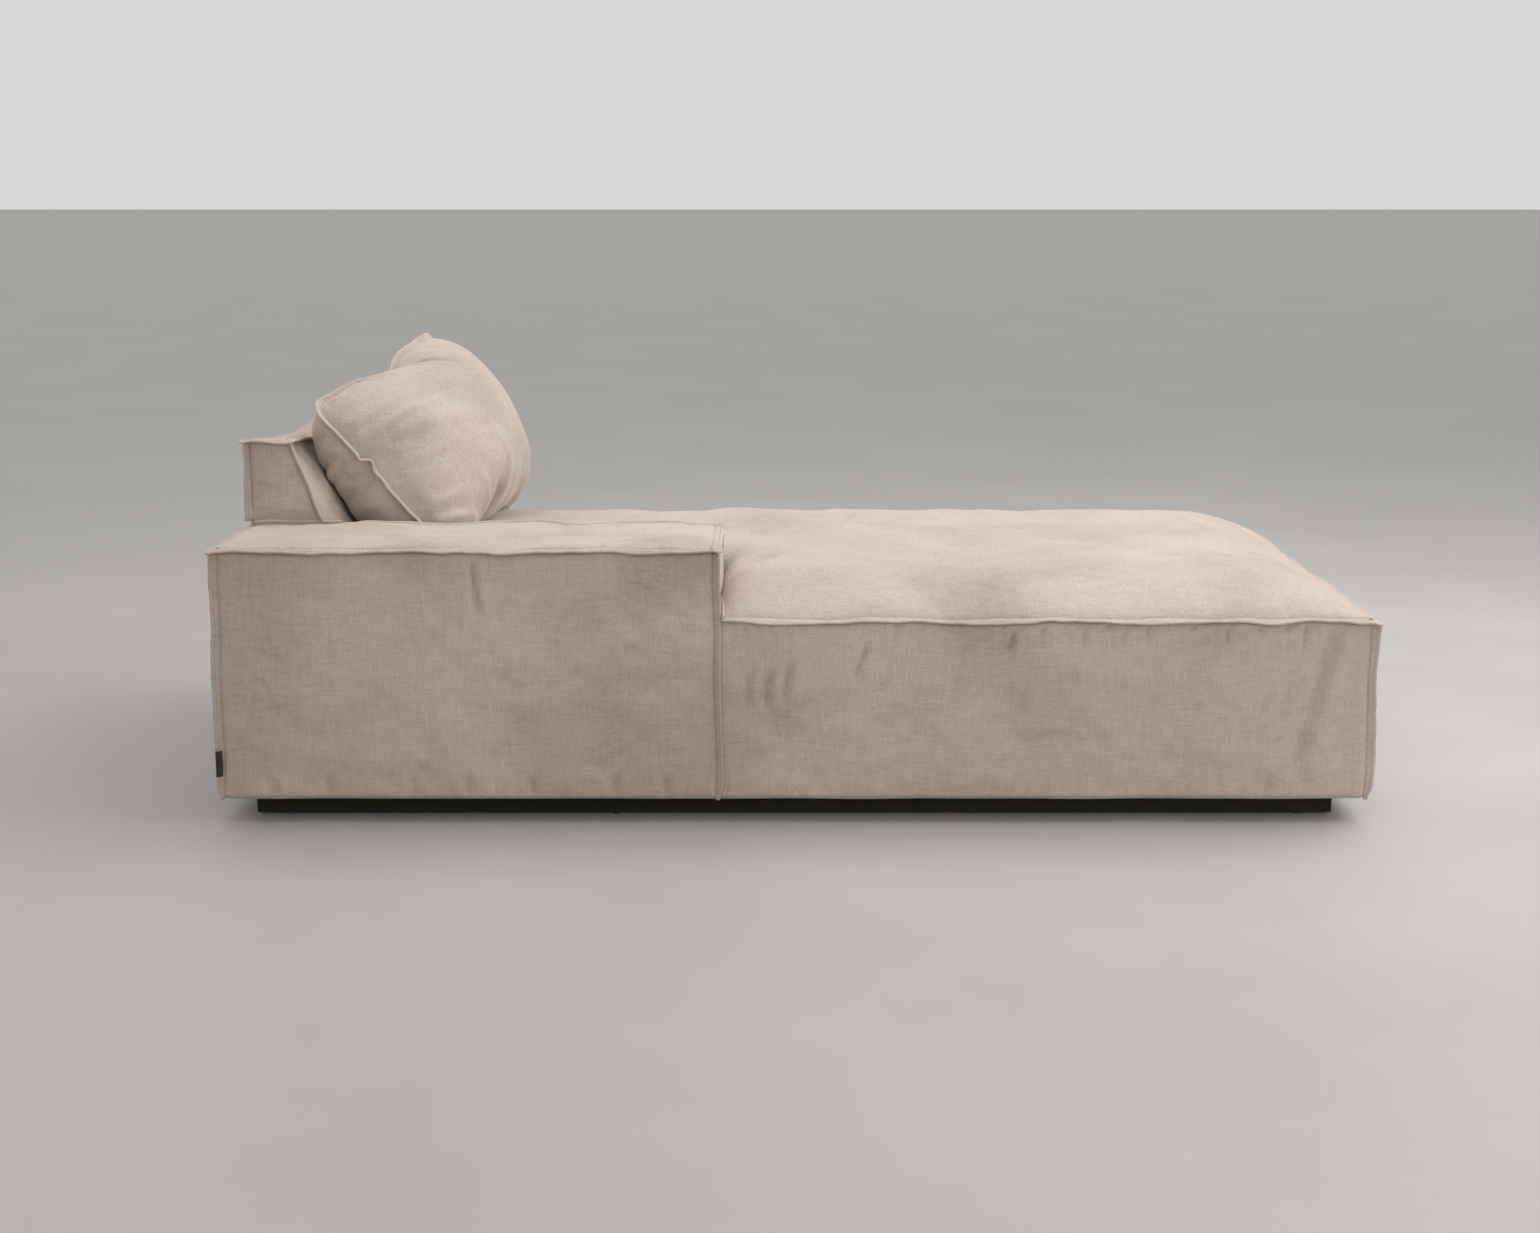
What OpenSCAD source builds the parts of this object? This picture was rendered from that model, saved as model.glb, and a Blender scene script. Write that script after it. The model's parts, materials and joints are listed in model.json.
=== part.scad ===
// Upholstered daybed: a long seat block on a recessed plinth, with a low block arm on one
// long side, a wedge backrest across the head end and one loose pillow.
// X runs from the head end to the foot end, Y from the arm side to the open side, Z up.
// The origin is on the floor under the middle of the body.

/* [Body] */
// Length of the upholstered body, head to foot
body_length = 2200; // [1800:10:2600]
// Width of the upholstered body, arm side to open side
body_width = 1050; // [900:10:1260]

/* [Plinth] */
// Height of the plinth, floor to the underside of the body
plinth_height = 45; // [35:1:80]
// How far the plinth stands in from the body's edge, all round
plinth_inset = 42; // [36:1:64]
// Thickness of the plinth boards
plinth_board = 18; // [15:1:25]
// Height of the glides under the plinth
glide_height = 4; // [3:0.5:8]

/* [Seat] */
// Height of the seam round the top of the seat
seat_seam_height = 400; // [370:5:450]
// Rise of the seat's crown above that seam
seat_crown = 80; // [50:1:95]
// Run of the rounded shoulder, from the edge to the flat of the crown
seat_shoulder = 250; // [180:5:280]

/* [Arm] */
// Length of the arm along the body
arm_length = 945; // [700:5:1200]
// Width of the arm
arm_width = 280; // [240:5:340]
// Height of the seam round the arm's top
arm_height = 535; // [510:5:620]
// Rise of the arm's top between its seams
arm_crown = 8; // [4:1:15]

/* [Backrest] */
// Height of the backrest
back_height = 700; // [640:5:800]
// Depth of the backrest at its top
back_top_depth = 79; // [75:1:110]
// Depth of the backrest at the seat's seam
back_seat_depth = 195; // [180:5:240]
// Swell of the backrest's front panel beyond its side seams
back_bulge = 48; // [20:1:60]

/* [Pillow] */
// Space between the pillow's flange and each side of the backrest
pillow_side_gap = 33; // [15:1:80]
// Height of the pillow, seam to seam
pillow_height = 430; // [360:10:520]
// Thickness of the pillow at its middle
pillow_thickness = 340; // [240:10:350]
// Angle between the pillow's seam plane and the floor, in degrees
pillow_lean = 57; // [50:1:70]
// Clear space left round the loose pillow
pillow_clearance = 0.6; // [0.4:0.1:3]

/* [Cover] */
// Thickness of the cover fabric
cover = 2; // [1.5:0.5:3]
// How far a flanged seam stands out from the body
flange_reach = 12; // [8:1:16]
// Thickness of a flanged seam, two layers of fabric
flange_thickness = 4; // [3:0.5:5]
// Gap between one upholstered block and the next
block_gap = 0.5; // [0.2:0.1:2]

/* [Frame] */
// Height of the deck rails
rail_height = 200; // [150:5:220]
// Thickness of the deck rails
rail_thickness = 35; // [32:1:40]
// Width of the inner deck rails, which carry a frame and the webbing side by side
wide_rail = 60; // [55:1:75]
// Thickness of the plywood boards in the arm and backrest
board = 15; // [12:1:18]
// Thickness of the foam sheet on the outside of the frames
padding = 18; // [14:1:24]
// Width of one webbing strap
strap_width = 70; // [50:5:80]
// Clear space between neighbouring straps, at least
strap_space = 50; // [40:5:80]

/* [Screws] */
// Diameter of the lag screws
screw_d = 8; // [6:1:10]
// Length of a lag screw below its head
screw_length = 60; // [45:5:70]
// Clear space round a screw's shank
screw_clearance = 0.2; // [0.1:0.1:0.5]

/* [Hidden] */
$fn = 96;
wide_arc = 200;
eps = 1;
huge = 4000;

// Edges of the body
head_x = -body_length / 2;
foot_x = body_length / 2;
arm_y = -body_width / 2;
open_y = body_width / 2;

// Edges of the arm and the backrest
arm_front_x = head_x + arm_length;
arm_inner_y = arm_y + arm_width;
back_front_x = head_x + back_seat_depth;

// Heights
dust_thickness = 1.5;
dust_margin = 2;
deck_bottom = plinth_height + dust_thickness;
deck_top = deck_bottom + rail_height;
strap_thickness = 2;
felt_thickness = 4;
felt_bottom = deck_top + 2 * strap_thickness;
felt_top = felt_bottom + felt_thickness;
seat_top = seat_seam_height + seat_crown;
topper_edge = 30;
topper_bottom = seat_seam_height - topper_edge;

// Outer faces of the wooden frame: cover and padding lie outside it
skin = cover + padding;
frame_head_x = head_x + skin;
frame_foot_x = foot_x - skin;
frame_arm_y = arm_y + skin;
frame_open_y = open_y - skin;

// The seat's crown: an arc from the seam to the flat top, slightly flatter than a tangent one
shoulder_flatness = 1.2;
shoulder_lap = 20;
shoulder_chord = norm([seat_shoulder, seat_crown]);
shoulder_r = shoulder_flatness * shoulder_chord * shoulder_chord / (2 * seat_crown);
shoulder_drop = sqrt(shoulder_r * shoulder_r - shoulder_chord * shoulder_chord / 4);
shoulder_in = seat_shoulder / 2 + shoulder_drop * seat_crown / shoulder_chord;
shoulder_z = seat_seam_height + seat_crown / 2 - shoulder_drop * seat_shoulder / shoulder_chord;

// The backrest's swell: an arc on the chord between its two front seams
back_run = back_seat_depth - back_top_depth;
back_rise = back_height - seat_seam_height;
back_slope = atan(back_run / back_rise);
back_chord = norm([back_run, back_rise]);
swell_r = (back_chord * back_chord / 4 + back_bulge * back_bulge) / (2 * back_bulge);
swell_x = head_x + (back_seat_depth + back_top_depth) / 2
    - (swell_r - back_bulge) * cos(back_slope);
swell_z = (back_height + seat_seam_height) / 2 - (swell_r - back_bulge) * sin(back_slope);

// Layers of the backrest
back_foam = 60;
back_top_foam = 30;
back_side_pad = 10;
back_rear_pad = 8;
rear_board = 5;
back_y = [arm_inner_y + block_gap, open_y];
back_core_y = [back_y[0] + cover + back_side_pad, back_y[1] - cover - back_side_pad];
back_side_board = 18;
back_frame_top = back_height - cover - back_top_foam;
back_frame_rear = head_x + cover + back_rear_pad + rear_board;
back_frame_front = back_front_x - cover - back_foam - strap_thickness;
back_rail = 40;
back_rail_height = 25;
back_top_rail = 50;
back_strap_low = 15;
back_strap_top = 45;
back_stile_y = (back_core_y[0] + back_core_y[1]) / 2;

// Layers of the arm
arm_foam = 30;
arm_wood_top = arm_height - cover - arm_foam;
arm_wood_front_x = arm_front_x - skin;
arm_wood_inner_y = arm_inner_y - skin;
arm_swell_r = (arm_width * arm_width / 4 + arm_crown * arm_crown) / (2 * arm_crown);

// Plinth
plinth_x = body_length / 2 - plinth_inset;
plinth_y = body_width / 2 - plinth_inset;
block_side = 60;
glide_r = 12;
glide_margin = 0.5;
glide_places = [-0.94, -0.33, 0.33, 0.94];
cross_board_places = [-0.5, 0, 0.5];

// Deck: shares of the rails' height
cross_rail_share = 0.6;
corner_block_share = 0.7;

// How far the flanges along X and along Y run past a corner, where they cross in a knob
lap_x = flange_reach * 0.35;
lap_y = flange_reach * 0.5;
flange_stop = 4;

// Screws
screw_hole_r = screw_d / 2 + screw_clearance;
head_r = screw_d * 0.9;
head_height = screw_d * 0.6;
head_recess = 4;
head_margin = 3;
plinth_head_z = glide_height + head_height + head_recess;
block_screw_share = 0.75;
plinth_screw = [
    body_length / 2 - skin - rail_thickness - block_side * block_screw_share,
    body_width / 2 - skin - rail_thickness - block_side * block_screw_share
];
arm_screw_y = frame_arm_y + board + head_r + screw_clearance;
arm_inner_screw_y = arm_wood_inner_y - board - head_r - head_margin;
arm_screw_places = [0.12, 0.5, 0.88];
arm_screw_x = [for (i = arm_screw_places)
    frame_head_x + i * (arm_wood_front_x - frame_head_x)];
back_screw_places = [0.15, 0.35, 0.65, 0.85];
back_screw_y = [for (i = back_screw_places)
    back_core_y[0] + i * (back_core_y[1] - back_core_y[0])];
back_screw_x = [
    frame_head_x + rail_thickness / 2,
    back_frame_front - back_rail / 2
];

// Webbing: where the straps start beside the arm, the backrest and the arm's front
strap_gap = 3;
strap_edge = 20;
strap_from_y = arm_wood_inner_y + strap_gap;
strap_from_x = back_frame_front + strap_gap;
front_deck_x = arm_wood_front_x + board + strap_gap;
strap_pitch_min = strap_width + strap_space;

// Pillow: one arc across its height and a slightly fuller one across its width
pillow_width = back_y[1] - back_y[0] - 2 * (pillow_side_gap + flange_reach);
pillow_fuller = 8;
pillow_r = (pow(pillow_height / 2, 2) + pow(pillow_thickness / 2, 2)) / pillow_thickness;
pillow_wide_rise = pillow_thickness / 2 + pillow_fuller;
pillow_wide_r = (pow(pillow_width / 2, 2) + pow(pillow_wide_rise, 2)) / (2 * pillow_wide_rise);
pillow_offset = pillow_r - pillow_thickness / 2;
pillow_tip_drop = (pillow_height / 2 + flange_reach) * sin(pillow_lean)
    + flange_thickness / 2 * cos(pillow_lean);
pillow_belly_drop = pillow_r - pillow_offset * cos(pillow_lean);
pillow_z = seat_top + pillow_clearance + max(pillow_tip_drop, pillow_belly_drop);
pillow_arc_z = pillow_z + pillow_offset * cos(pillow_lean);
pillow_reach = pillow_r + swell_r + pillow_clearance;
pillow_arc_x = swell_x + sqrt(pow(pillow_reach, 2) - pow(pillow_arc_z - swell_z, 2));
pillow_x = pillow_arc_x - pillow_offset * sin(pillow_lean);
pillow_y = (back_y[0] + back_y[1]) / 2;

// Tag sewn over the rear corner flange
tag_height = 50;
tag_bottom = 93;
tag_thickness = 1.2;

echo(total_height = pillow_z + (pillow_height / 2 + flange_reach) * sin(pillow_lean));

// ---- shared shapes ----

// A box between two corners
module span(low, high) {
    translate(low) cube(high - low);
}

// A profile drawn in X and Z, standing from one Y to another
module across(y_low, y_high) {
    translate([0, y_high, 0]) rotate([90, 0, 0]) linear_extrude(height = y_high - y_low) children();
}

// A profile drawn in Y and Z, running from one X to another
module along(x_low, x_high) {
    translate([x_low, 0, 0]) rotate([90, 0, 90]) linear_extrude(height = x_high - x_low) children();
}

// A flanged seam along X: it stands out to one side in Y and upwards, at 45 degrees
module seam_along_x(x_low, x_high, y, z, side) {
    fin = flange_reach * sqrt(2);
    translate([x_low, y, z]) rotate([side * 45 + (side > 0 ? 0 : 180), 0, 0])
        translate([0, -cover, -flange_thickness / 2])
            cube([x_high - x_low, fin + cover - flange_thickness / 2, flange_thickness]);
}

// A flanged seam along Y: it stands out to one side in X and upwards, at 45 degrees
module seam_along_y(y_low, y_high, x, z, side) {
    fin = flange_reach * sqrt(2);
    translate([x, y_low, z]) rotate([0, -side * 45 + (side > 0 ? 0 : 180), 0])
        translate([-cover, 0, -flange_thickness / 2])
            cube([fin + cover - flange_thickness / 2, y_high - y_low, flange_thickness]);
}

// A flanged seam up a corner, standing out diagonally in the direction of an angle
module seam_up(x, y, z_low, z_high, angle) {
    fin = flange_reach * sqrt(2);
    translate([x, y, z_low]) rotate([0, 0, angle])
        translate([-cover, -flange_thickness / 2, 0])
            cube([fin + cover - flange_thickness / 2, flange_thickness, z_high - z_low]);
}

// A flanged seam up a flat wall, standing straight out of it in the direction of an angle
module seam_up_wall(x, y, z_low, z_high, angle) {
    translate([x, y, z_low]) rotate([0, 0, angle])
        translate([-cover, -flange_thickness / 2, 0])
            cube([flange_reach + cover, flange_thickness, z_high - z_low]);
}

// A lag screw with its head's underside at z = 0
module lag_screw(length) {
    translate([0, 0, -length]) cylinder(d = screw_d, h = length + head_height);
    cylinder(r = head_r, h = head_height, $fn = 6);
}

// The hole for a lag screw, open at the top
module lag_hole(length) {
    translate([0, 0, -length - screw_clearance])
        cylinder(r = screw_hole_r, h = length + screw_clearance + eps);
}

// Straps laid side by side from one place to another: the low edge of each
function strap_starts(low, high) =
    let (count = floor((high - low + strap_space) / strap_pitch_min))
    let (pitch = (high - low - strap_width) / max(count - 1, 1))
    [for (i = [0:count - 1]) low + i * pitch];

// ---- plinth ----

module plinth_side(side) {
    low = side > 0 ? plinth_y - plinth_board : -plinth_y;
    span([-plinth_x, low, glide_height], [plinth_x, low + plinth_board, plinth_height]);
}

module plinth_end(side) {
    low = side > 0 ? plinth_x - plinth_board : -plinth_x;
    inner_y = plinth_y - plinth_board;
    span([low, -inner_y, glide_height], [low + plinth_board, inner_y, plinth_height]);
}

module floor_glides() {
    color("black")
    for (x = glide_places)
        for (side = [-1, 1])
            translate([x * plinth_x, side * (plinth_y - plinth_board / 2), 0])
                cylinder(r = min(glide_r, plinth_board / 2 - glide_margin), h = glide_height);
}

module plinth_board_arm_side() {
    color([0.09, 0.09, 0.09]) plinth_side(-1);
}

module plinth_board_open_side() {
    color([0.09, 0.09, 0.09]) plinth_side(1);
}

module plinth_board_head() {
    color([0.09, 0.09, 0.09]) plinth_end(-1);
}

module plinth_board_foot() {
    color([0.09, 0.09, 0.09]) plinth_end(1);
}

module plinth_cross_boards() {
    inner_y = plinth_y - plinth_board;
    color([0.09, 0.09, 0.09])
    for (x = cross_board_places)
        translate([x * plinth_x - plinth_board / 2, -inner_y, glide_height])
            cube([plinth_board, 2 * inner_y, plinth_height - glide_height]);
}

module plinth_corner_blocks() {
    inner = [plinth_x - plinth_board, plinth_y - plinth_board];
    color("burlywood")
    for (sx = [-1, 1])
        for (sy = [-1, 1])
            difference() {
                translate([
                    sx > 0 ? inner[0] - block_side : -inner[0],
                    sy > 0 ? inner[1] - block_side : -inner[1],
                    glide_height
                ])
                    cube([block_side, block_side, plinth_height - glide_height]);
                translate([sx * plinth_screw[0], sy * plinth_screw[1], 0]) {
                    cylinder(r = screw_hole_r, h = plinth_height + eps);
                    cylinder(r = head_r + screw_clearance, h = plinth_head_z);
                }
            }
}

module plinth_screws() {
    color("silver")
    for (sx = [-1, 1])
        for (sy = [-1, 1])
            translate([sx * plinth_screw[0], sy * plinth_screw[1], plinth_head_z])
                mirror([0, 0, 1]) lag_screw(screw_length);
}

module dust_cover() {
    edge = [frame_foot_x - dust_margin, frame_open_y - dust_margin];
    color([0.06, 0.06, 0.06])
    difference() {
        span([-edge[0], -edge[1], plinth_height], [edge[0], edge[1], deck_bottom]);
        for (sx = [-1, 1])
            for (sy = [-1, 1])
                translate([sx * plinth_screw[0], sy * plinth_screw[1], 0])
                    cylinder(r = screw_hole_r, h = deck_bottom + eps);
    }
}

// ---- deck ----

module deck_rail_arm_side() {
    color("burlywood")
    difference() {
        span(
            [frame_head_x, frame_arm_y, deck_bottom],
            [frame_foot_x, frame_arm_y + rail_thickness, deck_top]
        );
        for (x = arm_screw_x)
            translate([x, arm_screw_y, deck_top]) lag_hole(screw_length - board);
    }
}

module deck_rail_open_side() {
    color("burlywood")
    span(
        [frame_head_x, frame_open_y - rail_thickness, deck_bottom],
        [frame_foot_x, frame_open_y, deck_top]
    );
}

module deck_rail_head() {
    color("burlywood")
    difference() {
        span(
            [frame_head_x, frame_arm_y + rail_thickness, deck_bottom],
            [frame_head_x + rail_thickness, frame_open_y - rail_thickness, deck_top]
        );
        for (y = back_screw_y)
            translate([back_screw_x[0], y, deck_top]) lag_hole(screw_length - back_rail_height);
    }
}

module deck_rail_foot() {
    color("burlywood")
    span(
        [frame_foot_x - rail_thickness, frame_arm_y + rail_thickness, deck_bottom],
        [frame_foot_x, frame_open_y - rail_thickness, deck_top]
    );
}

module deck_rail_under_arm() {
    color("burlywood")
    difference() {
        span(
            [frame_head_x + rail_thickness, arm_wood_inner_y - board - wide_rail / 2, deck_bottom],
            [front_deck_x - strap_gap, arm_wood_inner_y - board + wide_rail / 2, deck_top]
        );
        for (x = arm_screw_x)
            translate([x, arm_inner_screw_y, deck_top]) lag_hole(screw_length - board);
    }
}

// Rail under the backrest's front, notched round the corner block at its end
module deck_rail_under_back() {
    rail_x = back_frame_front - back_rail;
    color("burlywood")
    difference() {
        span(
            [rail_x, arm_wood_inner_y - board + wide_rail / 2, deck_bottom],
            [rail_x + back_rail + wide_rail / 2, frame_open_y - rail_thickness, deck_top]
        );
        for (y = back_screw_y)
            translate([back_screw_x[1], y, deck_top]) lag_hole(screw_length - back_rail_height);
        corner_block(-1, 1);
    }
}

module deck_rail_arm_front() {
    color("burlywood")
    span(
        [front_deck_x - wide_rail / 2 - strap_gap, frame_arm_y + rail_thickness, deck_bottom],
        [front_deck_x + wide_rail / 2, arm_wood_inner_y - board - wide_rail / 2, deck_top]
    );
}

// Cross rails under the open deck, low enough to leave the webbing room to stretch
module deck_cross_rails() {
    low_x = front_deck_x + wide_rail / 2;
    bay = frame_foot_x - rail_thickness - low_x;
    color("burlywood")
    for (i = [1:2])
        translate([low_x + i * bay / 3, frame_arm_y + rail_thickness, deck_bottom])
            cube([rail_thickness, body_width - 2 * (skin + rail_thickness), rail_height * cross_rail_share]);
}

// One corner block of the deck, still undrilled
module corner_block(sx, sy) {
    inner_x = frame_foot_x - rail_thickness;
    inner_y = frame_open_y - rail_thickness;
    translate([
        sx > 0 ? inner_x - block_side : -inner_x,
        sy > 0 ? inner_y - block_side : -inner_y,
        deck_bottom
    ])
        cube([block_side, block_side, rail_height * corner_block_share]);
}

module deck_corner_blocks() {
    grip = screw_length - (plinth_height - plinth_head_z);
    color("burlywood")
    for (sx = [-1, 1])
        for (sy = [-1, 1])
            difference() {
                corner_block(sx, sy);
                translate([sx * plinth_screw[0], sy * plinth_screw[1], deck_bottom - eps])
                    cylinder(r = screw_hole_r, h = grip + eps);
            }
}

// ---- seat suspension ----

// Straps across the width: short ones beside the arm, full ones in front of it
module seat_webbing_cross() {
    color("dimgray") {
        for (x = strap_starts(strap_from_x + strap_space, front_deck_x - strap_space))
            span(
                [x, strap_from_y, deck_top],
                [x + strap_width, frame_open_y, deck_top + strap_thickness]
            );
        for (x = strap_starts(front_deck_x + strap_space, frame_foot_x - strap_space))
            span(
                [x, frame_arm_y, deck_top],
                [x + strap_width, frame_open_y, deck_top + strap_thickness]
            );
    }
}

// Straps along the length, laid over the ones across the width
module seat_webbing_long() {
    low_z = deck_top + strap_thickness;
    color("dimgray") {
        for (y = strap_starts(strap_from_y + strap_edge, frame_open_y - strap_edge))
            span([strap_from_x, y, low_z], [frame_foot_x, y + strap_width, felt_bottom]);
        for (y = strap_starts(frame_arm_y + strap_edge, strap_from_y - strap_edge))
            span([front_deck_x, y, low_z], [frame_foot_x, y + strap_width, felt_bottom]);
    }
}

// The notch that the arm takes out of anything laid on the deck
module arm_notch(gap) {
    span([head_x - huge, arm_y - huge, -huge], [arm_front_x + gap, arm_inner_y + gap, huge]);
}

module seat_felt() {
    color([0.35, 0.34, 0.33])
    difference() {
        span([strap_from_x, frame_arm_y, felt_bottom], [frame_foot_x, frame_open_y, felt_top]);
        span(
            [head_x, arm_y - eps, felt_bottom - eps],
            [front_deck_x, strap_from_y, felt_top + eps]
        );
    }
}

// ---- seat ----

// A crowned rectangle, seen along one axis: its high edge is rounded, and its low edge too
// where round_low is true
module crown(low, high, round_low, inset) {
    intersection() {
        translate([low + inset, 0]) square([high - low - 2 * inset, seat_top - inset]);
        union() {
            translate([low - eps, 0]) square([high - low - seat_shoulder - shoulder_lap, seat_top]);
            translate([high - shoulder_in, shoulder_z]) circle(r = shoulder_r - inset);
        }
        if (round_low)
            union() {
                translate([low + seat_shoulder + shoulder_lap, 0]) square([high - low, seat_top]);
                translate([low + shoulder_in, shoulder_z]) circle(r = shoulder_r - inset);
            }
        else
            translate([low - eps, 0]) square([high - low + 2 * eps, seat_top]);
    }
}

// The seat block above the deck, drawn in by an inset on every side
module seat_block(inset, bottom) {
    difference() {
        intersection() {
            across(arm_y + inset, open_y - inset) crown(head_x, foot_x, false, inset);
            along(head_x, foot_x) crown(arm_y, open_y, true, inset);
            span([head_x, arm_y, bottom], [foot_x, open_y, seat_top]);
        }
        arm_notch(block_gap + inset);
        across(arm_y - eps, open_y + eps) back_outline(-block_gap - inset, bottom - eps);
    }
}

module seat_foam_core() {
    color([0.93, 0.89, 0.72])
    difference() {
        span(
            [head_x, arm_y + cover, felt_top],
            [foot_x - cover, open_y - cover, topper_bottom]
        );
        arm_notch(block_gap + cover);
        across(arm_y - eps, open_y + eps) back_outline(-block_gap - cover, deck_top);
    }
}

module seat_foam_topper() {
    color([0.96, 0.93, 0.80]) seat_block(cover, topper_bottom);
}

// The wall that hangs over the seat's deck rails
module seat_skirt(low_x, high_x, y) {
    span([low_x, y, plinth_height], [high_x, y + cover, felt_top]);
}

module seat_padding_arm_side() {
    color([0.90, 0.90, 0.88])
    span(
        [arm_front_x + block_gap + cover, arm_y + cover, deck_bottom],
        [foot_x - cover, frame_arm_y, felt_top]
    );
}

module seat_padding_open_side() {
    color([0.90, 0.90, 0.88])
    span(
        [back_front_x + block_gap + cover, frame_open_y, deck_bottom],
        [foot_x - cover, open_y - cover, felt_top]
    );
}

module seat_padding_foot() {
    color([0.90, 0.90, 0.88])
    span([frame_foot_x, frame_arm_y, deck_bottom], [foot_x - cover, frame_open_y, felt_top]);
}

module seat_cover() {
    arm_side_x = arm_front_x + block_gap;
    open_side_x = back_front_x + block_gap;
    color([0.64, 0.57, 0.51]) {
        difference() {
            seat_block(0, felt_top);
            seat_block(cover, felt_top - eps);
        }
        seat_skirt(arm_side_x, foot_x, arm_y);
        seat_skirt(open_side_x, foot_x, open_y - cover);
        span([foot_x - cover, arm_y, plinth_height], [foot_x, open_y, felt_top]);
        seam_along_x(arm_side_x, foot_x + lap_x, arm_y, seat_seam_height, -1);
        seam_along_x(open_side_x, foot_x + lap_x, open_y, seat_seam_height, 1);
        seam_along_y(arm_y - lap_y, open_y + lap_y, foot_x, seat_seam_height, 1);
        seam_up(foot_x, arm_y, plinth_height, seat_seam_height, -45);
        seam_up(foot_x, open_y, plinth_height, seat_seam_height, 45);
    }
}

// ---- arm ----

module arm_board_outer() {
    color("burlywood")
    span(
        [frame_head_x, frame_arm_y, deck_top],
        [arm_wood_front_x, frame_arm_y + board, arm_wood_top - board]
    );
}

module arm_board_inner() {
    color("burlywood")
    span(
        [frame_head_x, arm_wood_inner_y - board, deck_top],
        [arm_wood_front_x, arm_wood_inner_y, arm_wood_top - board]
    );
}

module arm_end_board(low_x) {
    color("burlywood")
    span(
        [low_x, frame_arm_y + board, deck_top],
        [low_x + board, arm_wood_inner_y - board, arm_wood_top - board]
    );
}

module arm_board_front() {
    arm_end_board(arm_wood_front_x - board);
}

module arm_board_rear() {
    arm_end_board(frame_head_x);
}

module arm_board_top() {
    color("burlywood")
    span(
        [frame_head_x, frame_arm_y, arm_wood_top - board],
        [arm_wood_front_x, arm_wood_inner_y, arm_wood_top]
    );
}

module arm_board_base() {
    color("burlywood")
    difference() {
        span(
            [frame_head_x + board, frame_arm_y + board, deck_top],
            [arm_wood_front_x - board, arm_wood_inner_y - board, deck_top + board]
        );
        for (x = arm_screw_x)
            for (y = [arm_screw_y, arm_inner_screw_y])
                translate([x, y, deck_top - eps]) cylinder(r = screw_hole_r, h = board + 2 * eps);
    }
}

module arm_screws() {
    color("silver")
    for (x = arm_screw_x)
        for (y = [arm_screw_y, arm_inner_screw_y])
            translate([x, y, deck_top + board]) lag_screw(screw_length);
}

module arm_padding_outer() {
    color([0.90, 0.90, 0.88])
    span(
        [head_x + cover, arm_y + cover, deck_bottom],
        [arm_front_x - cover, frame_arm_y, arm_wood_top]
    );
}

module arm_padding_inner() {
    color([0.90, 0.90, 0.88])
    span(
        [frame_head_x, arm_wood_inner_y, felt_top],
        [arm_front_x - cover, arm_inner_y - cover, arm_wood_top]
    );
}

module arm_padding_front() {
    color([0.90, 0.90, 0.88])
    span(
        [arm_wood_front_x, frame_arm_y, felt_top],
        [arm_front_x - cover, arm_wood_inner_y, arm_wood_top]
    );
}

module arm_padding_rear() {
    color([0.90, 0.90, 0.88])
    span(
        [head_x + cover, frame_arm_y, deck_bottom],
        [frame_head_x, arm_inner_y - cover, arm_wood_top]
    );
}

// The arm's outline across its width, with a gently crowned top
module arm_outline(inset) {
    top = arm_height + arm_crown;
    middle = (arm_y + arm_inner_y) / 2;
    intersection() {
        translate([arm_y + inset, 0]) square([arm_width - 2 * inset, top + eps]);
        translate([middle, top - arm_swell_r]) circle(r = arm_swell_r - inset, $fn = wide_arc);
    }
}

module arm_foam_top() {
    color([0.93, 0.89, 0.72])
    intersection() {
        along(head_x + cover, arm_front_x - cover) arm_outline(cover);
        span([head_x, arm_y, arm_wood_top], [arm_front_x, arm_inner_y, huge]);
    }
}

module arm_cover() {
    inner_seam_x = back_front_x + back_bulge;
    color([0.64, 0.57, 0.51])
    difference() {
        union() {
            intersection() {
                along(head_x, arm_front_x) arm_outline(0);
                span([head_x, arm_y, felt_top], [arm_front_x, arm_inner_y, huge]);
            }
            span([head_x, arm_y, plinth_height], [arm_front_x, arm_y + cover, felt_top]);
            span([head_x, arm_y, plinth_height], [head_x + cover, arm_inner_y, felt_top]);
            seam_along_x(head_x - lap_x, arm_front_x + lap_x, arm_y, arm_height, -1);
            seam_along_x(inner_seam_x, arm_front_x + lap_x, arm_inner_y, arm_height, 1);
            seam_along_y(arm_y - lap_y, arm_inner_y + lap_y, arm_front_x, arm_height, 1);
            seam_along_y(arm_y - lap_y, arm_inner_y - flange_thickness, head_x, arm_height, -1);
            seam_up(head_x, arm_y, plinth_height, arm_height, 225);
            seam_up_wall(
                arm_front_x - flange_thickness / 2, arm_y, plinth_height, arm_height, -90
            );
        }
        intersection() {
            along(head_x + cover, arm_front_x - cover) arm_outline(cover);
            span([head_x, arm_y, felt_top - eps], [arm_front_x, arm_inner_y, huge]);
        }
    }
}

// ---- backrest ----

// The backrest's outline along its depth, drawn in by an inset; a negative one swells it
module back_outline(inset, bottom) {
    top = back_height - inset;
    intersection() {
        translate([head_x + inset, bottom]) square([huge, top - bottom]);
        union() {
            translate([head_x - huge / 2, bottom])
                square([huge / 2 + back_seat_depth - inset, seat_seam_height - bottom]);
            intersection() {
                translate([swell_x, swell_z]) circle(r = swell_r - inset, $fn = wide_arc);
                translate([swell_x - huge / 2, seat_seam_height - eps]) square([huge, huge]);
            }
            translate([head_x - huge / 2, bottom])
                square([huge / 2 + back_top_depth / 2, top - bottom]);
        }
    }
}

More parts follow.
